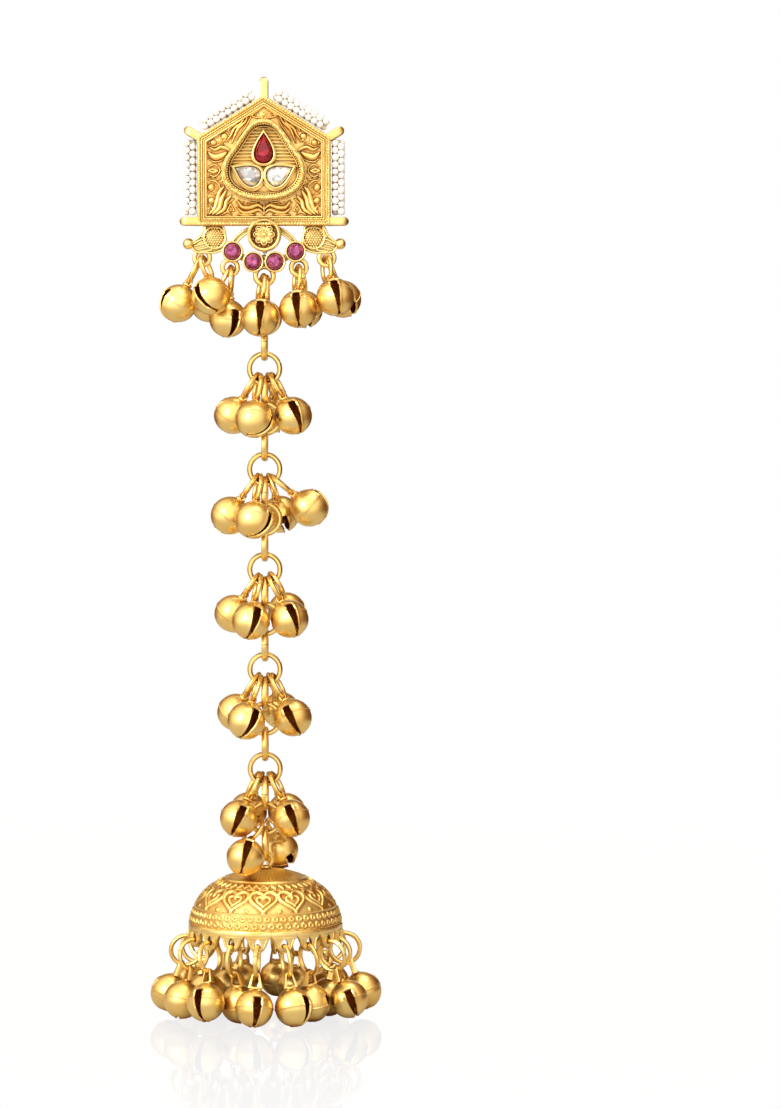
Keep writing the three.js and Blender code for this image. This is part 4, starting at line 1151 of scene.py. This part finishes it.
for name, washer, angle, x, y, slot in HEAD_BELLS:
    wx, wz, hole, _ = WASHERS[washer]
    bell = bell_on_ring(slot, SLACK["washer"], next_roll())
    bell.data.transform(hanging(*on_ring(wx, wz, hole, angle), x, y))
    bell.name = f"bell_head_{name}"
    put(bell, BELL_GILT, "head", "gold", f"head_bell_{name}")
for name, link, angle, x, y, slot in CHAIN_BELLS:
    body, slack = ("drop", SLACK["low_link"]) if link >= FIRST_LOW_LINK - 1 else ("head", SLACK["link"])
    bell = bell_on_ring(slot, slack, next_roll())
    bell.data.transform(hanging(*on_ring(0, link_z(link), LINK["r"] - LINK["wire"], angle), x, y))
    bell.name = f"bell_chain_{name}"
    put(bell, BELL_GILT, body, "gold", f"chain_bell_{name}")


# ---- Bell cup ----
# A deep dome raised from thin brass sheet and chased from outside: fine ribs round its eye, a
# zigzag, a row of hearts, two rows of small rings and a plain edge.

DOME = {"r": 13.0, "rise": 10.2, "top": -121.7, "rim": -131.1, "wall": 0.6, "eye_r": 1.15, "eye_wire": 0.3}
HEARTS, RINGLETS, ZIGZAGS, FLUTES = 13, 56, 40, 60
# How high the middle of each row of the chasing lies.
ROW_Z = {"zigzag": -123.87, "hearts": -126.05, "drops": -127.45}
# The plain lines round the dome: height, half the width and relief.
LINES = [(-123.3, 0.13, 0.17), (-124.36, 0.13, 0.17), (-127.95, 0.12, 0.14), (-130.6, 0.13, 0.15),
         (-130.95, 0.14, 0.1)]
# The rows of small rings: height, and by what share of a ring they are moved round.
RINGLET_ROWS = [(-128.75, 0.0), (-129.95, 0.5)]
RINGLET_R = 0.36


def heart_line(width, tall, low):
    """Outline of a heart that stands on low."""
    points = []
    for t in np.linspace(0, 2 * math.pi, 29):
        u = 16 * math.sin(t) ** 3
        v = 13 * math.cos(t) - 5 * math.cos(2 * t) - 2 * math.cos(3 * t) - math.cos(4 * t)
        points.append((u / 32 * width, low + (v + 17) / 29 * tall))
    return points


def dome_relief(turn, radius, z, steep):
    """Height of the chasing at an angle round the dome and a height up it."""

    def cell(count, shift=0.0):
        """How far round the dome it is to the middle of the nearest of count places."""
        step = 2 * math.pi / count
        return ((turn / step + shift) % 1.0 - 0.5) * step * radius

    u = cell(HEARTS, 0.5)
    v = (z - ROW_Z["hearts"]) * 1.32
    outer, _ = near_line(u, v, heart_line(4.6, 4.1, -2.15))
    inner, _ = near_line(u, v, heart_line(2.3, 2.0, -1.0))
    drop = np.hypot(cell(HEARTS), (z - ROW_Z["drops"]) * 1.25)
    tooth_w = 2 * math.pi / ZIGZAGS * radius
    zig_z = (np.abs(cell(ZIGZAGS)) / tooth_w * 2 - 0.5) * 0.5
    zig = np.abs(z - ROW_Z["zigzag"] - zig_z) * 1.15
    raised = [rounded(outer, 0.34, 0.27), rounded(inner, 0.24, 0.22), rounded(drop, 0.38, 0.2),
              rounded(zig, 0.18, 0.2)]
    for line_z, half, top in LINES:
        raised.append(rounded((z - line_z) * steep, half, top))
    for ring_z, shift in RINGLET_ROWS:
        d = np.abs(np.hypot(cell(RINGLETS, shift), (z - ring_z) * steep) - RINGLET_R)
        raised.append(rounded(d, 0.17, 0.18))
    below_eye = np.clip((z + 123.2) / 0.3, 0, 1) * np.clip((-121.75 - z) / 0.4, 0, 1)
    flutes = 0.06 * (0.5 + 0.5 * np.cos(FLUTES * turn)) * below_eye
    return np.max(raised, axis=0) + flutes


def soften_round(height, spread):
    """Softens all the way round the dome, where the last column meets the first."""
    overlap = 24
    wrapped = np.concatenate([height[:, -overlap:], height, height[:, :overlap]], axis=1)
    return soften(wrapped, spread)[:, overlap:-overlap]


def chased_dome():
    """The dome as one closed mesh. Its inside is plain, with a quarter of the columns of its outside."""
    columns, rows, inner_step, inner_rows = 576, 118, 4, 24
    centre = DOME["top"] - DOME["rise"]
    last = math.acos((DOME["rim"] - centre) / DOME["rise"])

    def shell(r, rise, down, turn, out=0.0):
        """Points of a flattened ball, pushed out along its normal."""
        lean, lift = np.sin(down) / r, np.cos(down) / rise
        size = np.hypot(lean, lift)
        flat = r * np.sin(down) + out * lean / size
        return np.stack([flat * np.sin(turn), HANG_Y - flat * np.cos(turn),
                         centre + rise * np.cos(down) + out * lift / size], axis=-1)

    down = np.linspace(0.045, last, rows)[:, None] * np.ones((1, columns))
    turn = np.ones((rows, 1)) * np.linspace(0, 2 * math.pi, columns, endpoint=False)
    steep = np.hypot(1, DOME["r"] / DOME["rise"] / np.tan(down))
    height = dome_relief(turn, DOME["r"] * np.sin(down), centre + DOME["rise"] * np.cos(down), steep)
    rng = np.random.default_rng(11)
    dents = soften_round(np.concatenate([rng.normal(0, 1, (rows, columns // 8))] * 8, axis=1), 7.0)
    height = height + 0.55 * dents - 0.12
    hollows = np.clip((soften_round(height, 3.2) - height) * 9, 0, 1)
    outer = shell(DOME["r"], DOME["rise"], down, turn, height - 0.1).reshape(-1, 3)
    inner_columns = columns // inner_step
    down_in = np.linspace(last, 0.12, inner_rows)[:, None] * np.ones((1, inner_columns))
    turn_in = np.ones((inner_rows, 1)) * np.linspace(0, 2 * math.pi, inner_columns, endpoint=False)
    inner = shell(DOME["r"] - DOME["wall"], DOME["rise"] - DOME["wall"], down_in, turn_in).reshape(-1, 3)
    middles = [(0, HANG_Y, DOME["top"]), (0, HANG_Y, DOME["top"] - DOME["wall"])]
    spots = np.concatenate([outer, inner, middles])
    faces = []
    for i in range(rows - 1):
        for j in range(columns):
            k = (j + 1) % columns
            faces.append((i * columns + j, (i + 1) * columns + j, (i + 1) * columns + k, i * columns + k))
    start = rows * columns
    low = (rows - 1) * columns
    for j in range(inner_columns):
        k = (j + 1) % inner_columns
        edge = [low + (j * inner_step + s) % columns for s in range(inner_step + 1)]
        faces.append((*edge[::-1], start + j, start + k))
        for i in range(inner_rows - 1):
            a, b = start + i * inner_columns, start + (i + 1) * inner_columns
            faces.append((a + j, b + j, b + k, a + k))
        end = start + (inner_rows - 1) * inner_columns
        faces.append((end + j, len(spots) - 1, end + k))
    for j in range(columns):
        faces.append((j, (j + 1) % columns, len(spots) - 2))
    cup = built("bell_cup", spots, [], faces)
    # Painted shade: the inside of the dome is darkened, and the point under the collar a little; the
    # outside's hollows are patina.
    store_hollows(cup, np.concatenate([hollows.ravel(), np.full(len(inner), 0.75), [0.3, 0.75]]))
    pick(cup)
    bpy.ops.object.mode_set(mode="EDIT")
    bpy.ops.mesh.select_all(action="SELECT")
    bpy.ops.mesh.normals_make_consistent(inside=False)
    bpy.ops.object.mode_set(mode="OBJECT")
    return cup


CUP_GILT = gilt("Chased gilding", (0.96, 0.74, 0.26), (0.92, 0.58, 0.14), (0.38, 0.13, 0.02),
                0.001, 1.8, 0.25, stored=True)
put(chased_dome(), CUP_GILT, "drop", "gold", "jhumka_dome")
last_link = link_z(FIRST_LOW_LINK + LINK["last"] - 1)
eye_z = last_link - LINK["r"] + LINK["wire"] + DOME["eye_wire"] + 0.12 - DOME["eye_r"]
cup_eye = torus("cup_eye", (0, HANG_Y, eye_z), DOME["eye_r"], DOME["eye_wire"], around=36, section=10)
cup_collar = torus("cup_collar", (0, HANG_Y, DOME["top"] + 0.02), 0.75, 0.26, (0, 0, 0), 32, 8)
put(one("cup_eye", cup_eye, cup_collar), WIRE_GILT, "drop", "gold", "jhumka_dome")


# ---- Eyelets and bells of the rim ----
# The rim ends in eighteen U-shaped eyelets. A jump ring through each carries one bell, and the
# bells stand in and out in turn because they are wider than their spacing.

RIM = {"bells": 18, "first": -84, "r": 12.9, "top": -130.85, "end": -134.3, "wall": 0.8,
       "hole_floor": -133.45}
# Bells of the rim, one for each eyelet in turn: where the bell's middle comes to, as its angle round
# the dome and its distance from the dome's axis, and how far it is turned.
RIM_BELLS = [
    (-88, 16.0, -6), (-58.5, 15.8, -116), (-35, 16.4, 17), (-22, 10.6, -141), (-5, 15.6, 16),
    (19.5, 15.2, 35), (43, 11.4, 40), (60, 16.2, -49), (78, 10.7, 0), (92, 16.2, 20), (116, 11.0, 60),
    (136, 15.5, 0), (155, 11.0, 40), (174, 15.5, 80), (198, 15.5, 30), (217, 11.0, 0), (236, 15.6, 70),
    (254, 10.5, 20),
]


def eyelet():
    """One eyelet in the plane y = 0, as wide at its top as its share of the rim."""
    half = RIM["r"] * math.tan(math.pi / RIM["bells"]) + 0.04
    side = [(half, RIM["top"]), (half, -131.55), (half - 0.22, -131.85), (1.75, -132.2), (1.55, -132.75),
            (1.35, -133.3), (1.05, -133.8), (0.65, -134.15), (0.22, RIM["end"])]
    outline = side + [(-x, z) for x, z in reversed(side)]
    hole_side = [(0.5, -132.7), (0.54, -133.0), (0.42, -133.3), (0.16, RIM["hole_floor"])]
    hole_top = [(0.4, -132.4), (0.24, -132.15), (0.08, -132.0)]
    hole = (hole_side + [(-x, z) for x, z in reversed(hole_side)] + [(-x, z) for x, z in hole_top]
            + list(reversed(hole_top)))
    piece = flat_piece("eyelet", [outline[::-1], hole], RIM["wall"] / 2, -RIM["wall"] / 2, 0.16)
    lip_side = [(1.8, -132.1), *[(x, z + 0.12) for x, z in side[4:]]]
    lip = lip_side + [(-x, z) for x, z in reversed(lip_side)]
    lip_wire = wire("eyelet_edge", [(x * 0.84, -RIM["wall"] / 2 - 0.02, z) for x, z in lip], 0.12, sides=2)
    piece = one("eyelet", piece, lip_wire)
    spots = points_of(piece)
    spots[:, 1] += spots[:, 0] ** 2 / (2 * RIM["r"])
    piece.data.vertices.foreach_set("co", spots.ravel())
    return piece


def about_dome(degrees, r, z):
    """A point round the dome's axis, counted from the front."""
    a = math.radians(degrees)
    return Vector((r * math.sin(a), HANG_Y - r * math.cos(a), z))


BELLS_PER_NODE = 3
loops = [RIM["first"] + 360 / RIM["bells"] * k for k in range(RIM["bells"])]
mid_wall = RIM["r"] - RIM["wall"] / 2
places = [Matrix.Translation(about_dome(a, mid_wall, 0)) @ Matrix.Rotation(math.radians(a), 4, "Z")
          for a in loops]
put(copies("rim_eyelets", eyelet(), places), ANTIQUED_SHADED_GILT, "drop", "gold",
    *[f"rim_bells_{s + 1}" for s in range(RIM["bells"] // BELLS_PER_NODE)])
for k, (angle, out, slot) in enumerate(RIM_BELLS):
    at = about_dome(loops[k], mid_wall, RIM["hole_floor"])
    along = Vector((math.cos(math.radians(loops[k])), math.sin(math.radians(loops[k])), 0))
    middle = about_dome(angle, out, 0)
    bell = bell_on_ring(slot, SLACK["eyelet"], next_roll(), long=True)
    bell.data.transform(hanging(at, along, middle.x, middle.y, RIM_DROP))
    bell.name = f"bell_rim_{k + 1}"
    put(bell, BELL_GILT, "drop", "gold", f"rim_bells_{k // BELLS_PER_NODE + 1}")
for pattern in patterns:
    bpy.data.objects.remove(pattern)


# ---- Stage ----
# A pale glossy table top just under the hanging earring, a bright room in front and a dim one
# behind, two soft boxes, and the camera in front.

TABLE = {"z": -0.1466, "r": 0.9, "fade_from": 0.1, "fade_to": 0.45}
bpy.ops.object.select_all(action="DESELECT")
bpy.ops.mesh.primitive_circle_add(vertices=96, radius=TABLE["r"], fill_type="NGON",
                                  location=(0, 0, TABLE["z"]))
table_top = bpy.context.active_object
table_top.name = "table_top"
paper = bpy.data.materials.new("White table top")
paper.use_nodes = True
table_tree = paper.node_tree
table_tree.nodes.clear()


def shader(tree, kind, **values):
    """A node with some of its inputs set."""
    node = tree.nodes.new(kind)
    for label, value in values.items():
        node.inputs[label].default_value = value
    return node


def spread(tree, value, low, high, start=0.0, end=1.0, smooth=False):
    """Maps a value from low..high to start..end."""
    node = tree.nodes.new("ShaderNodeMapRange")
    node.interpolation_type = "SMOOTHSTEP" if smooth else "LINEAR"
    tree.links.new(value, node.inputs["Value"])
    for label, number in (("From Min", low), ("From Max", high), ("To Min", start), ("To Max", end)):
        node.inputs[label].default_value = number
    return node.outputs["Result"]


def blend(tree, share, first, second):
    """A mix of two shaders."""
    node = tree.nodes.new("ShaderNodeMixShader")
    tree.links.new(share, node.inputs[0])
    tree.links.new(first.outputs[0], node.inputs[1])
    tree.links.new(second.outputs[0], node.inputs[2])
    return node


spot = table_tree.nodes.new("ShaderNodeTexCoord")
across = table_tree.nodes.new("ShaderNodeSeparateXYZ")
table_tree.links.new(spot.outputs["Object"], across.inputs[0])
white = shader(table_tree, "ShaderNodeEmission", Color=(1, 1, 1, 1), Strength=1.0)
mirror = shader(table_tree, "ShaderNodeBsdfGlossy", Color=(1, 0.985, 0.95, 1), Roughness=0.03)
sheen = spread(table_tree, across.outputs["Y"], -0.075, -0.012, 0.07, 0.18)
seen_top = blend(table_tree, sheen, white, mirror)
matt = shader(table_tree, "ShaderNodeBsdfDiffuse", Color=(0.5, 0.48, 0.46, 1))
ray = table_tree.nodes.new("ShaderNodeLightPath")
top = blend(table_tree, ray.outputs["Is Camera Ray"], matt, seen_top)
away = table_tree.nodes.new("ShaderNodeVectorMath")
away.operation = "LENGTH"
table_tree.links.new(spot.outputs["Object"], away.inputs[0])
edge = spread(table_tree, away.outputs["Value"], TABLE["fade_from"], TABLE["fade_to"], smooth=True)
finish = blend(table_tree, edge, top, shader(table_tree, "ShaderNodeBsdfTransparent"))
table_out = table_tree.nodes.new("ShaderNodeOutputMaterial")
table_tree.links.new(finish.outputs[0], table_out.inputs["Surface"])
table_top.data.materials.append(paper)

world = bpy.data.worlds.new("Studio")
bpy.context.scene.world = world
world.use_nodes = True
sky = world.node_tree
sky.nodes.clear()
heading = sky.nodes.new("ShaderNodeTexCoord")


def towards(direction):
    """How nearly a place of the sky lies in a direction, from -1 to 1."""
    node = sky.nodes.new("ShaderNodeVectorMath")
    node.operation = "DOT_PRODUCT"
    sky.links.new(heading.outputs["Generated"], node.inputs[0])
    node.inputs[1].default_value = Vector(direction).normalized()
    return node.outputs["Value"]


ramp = sky.nodes.new("ShaderNodeValToRGB")
ramp.color_ramp.interpolation = "B_SPLINE"
stops = ramp.color_ramp.elements
stops[0].position, stops[0].color = 0.0, (0.05, 0.014, 0.003, 1)
stops[1].position, stops[1].color = 1.0, (1.0, 0.98, 0.95, 1)
TONES = [(0.3, (0.11, 0.04, 0.012, 1)), (0.5, (0.32, 0.19, 0.1, 1)), (0.75, (0.85, 0.78, 0.68, 1))]
for place, tone in TONES:
    stop = stops.new(place)
    stop.color = tone
sky.links.new(spread(sky, towards((-0.35, -0.8, 0.48)), -1.0, 1.0), ramp.inputs["Fac"])
room = shader(sky, "ShaderNodeBackground", Strength=1.7)
sky.links.new(ramp.outputs["Color"], room.inputs["Color"])
plain = shader(sky, "ShaderNodeBackground", Color=(1, 1, 1, 1), Strength=1.0)
sky_ray = sky.nodes.new("ShaderNodeLightPath")
behind = spread(sky, towards((0, 0.98, 0.17)), 0.95, 0.975, smooth=True)
patch = math_node(sky, "MULTIPLY", behind, sky_ray.outputs["Is Glossy Ray"])
shown = math_node(sky, "MAXIMUM", patch, sky_ray.outputs["Is Camera Ray"])
sky_out = sky.nodes.new("ShaderNodeOutputWorld")
sky.links.new(blend(sky, shown, room, plain).outputs[0], sky_out.inputs["Surface"])


def soft_box(name, at, width, height, power):
    """A soft light that faces the middle of the earring."""
    light = bpy.data.lights.new(name, "AREA")
    light.shape, light.size, light.size_y = "RECTANGLE", width, height
    light.energy, light.color = power, (1.0, 0.97, 0.93)
    lamp = bpy.data.objects.new(name, light)
    bpy.context.collection.objects.link(lamp)
    lamp.location = at
    lamp.rotation_euler = (Vector((0, 0, -0.07)) - Vector(at)).to_track_quat("-Z", "Y").to_euler()


soft_box("key_box", (-0.42, -0.5, 0.2), 0.3, 0.45, 2.0)
soft_box("top_box", (0.1, 0.0, 0.5), 0.4, 0.3, 1.0)

AIM = Vector((0.0208, 0.0, -0.0695))
RISE = math.radians(3.0)
AWAY = 0.65
eye = bpy.data.cameras.new("Camera")
eye.lens, eye.sensor_width, eye.sensor_fit = 126.7, 36.0, "AUTO"
eye.clip_start, eye.clip_end = 0.01, 10.0
view = bpy.data.objects.new("Camera", eye)
bpy.context.collection.objects.link(view)
view.location = AIM + AWAY * Vector((0, -math.cos(RISE), math.sin(RISE)))
view.rotation_euler = (AIM - view.location).to_track_quat("-Z", "Y").to_euler()
bpy.context.scene.camera = view
bpy.context.scene.view_settings.view_transform = "Standard"
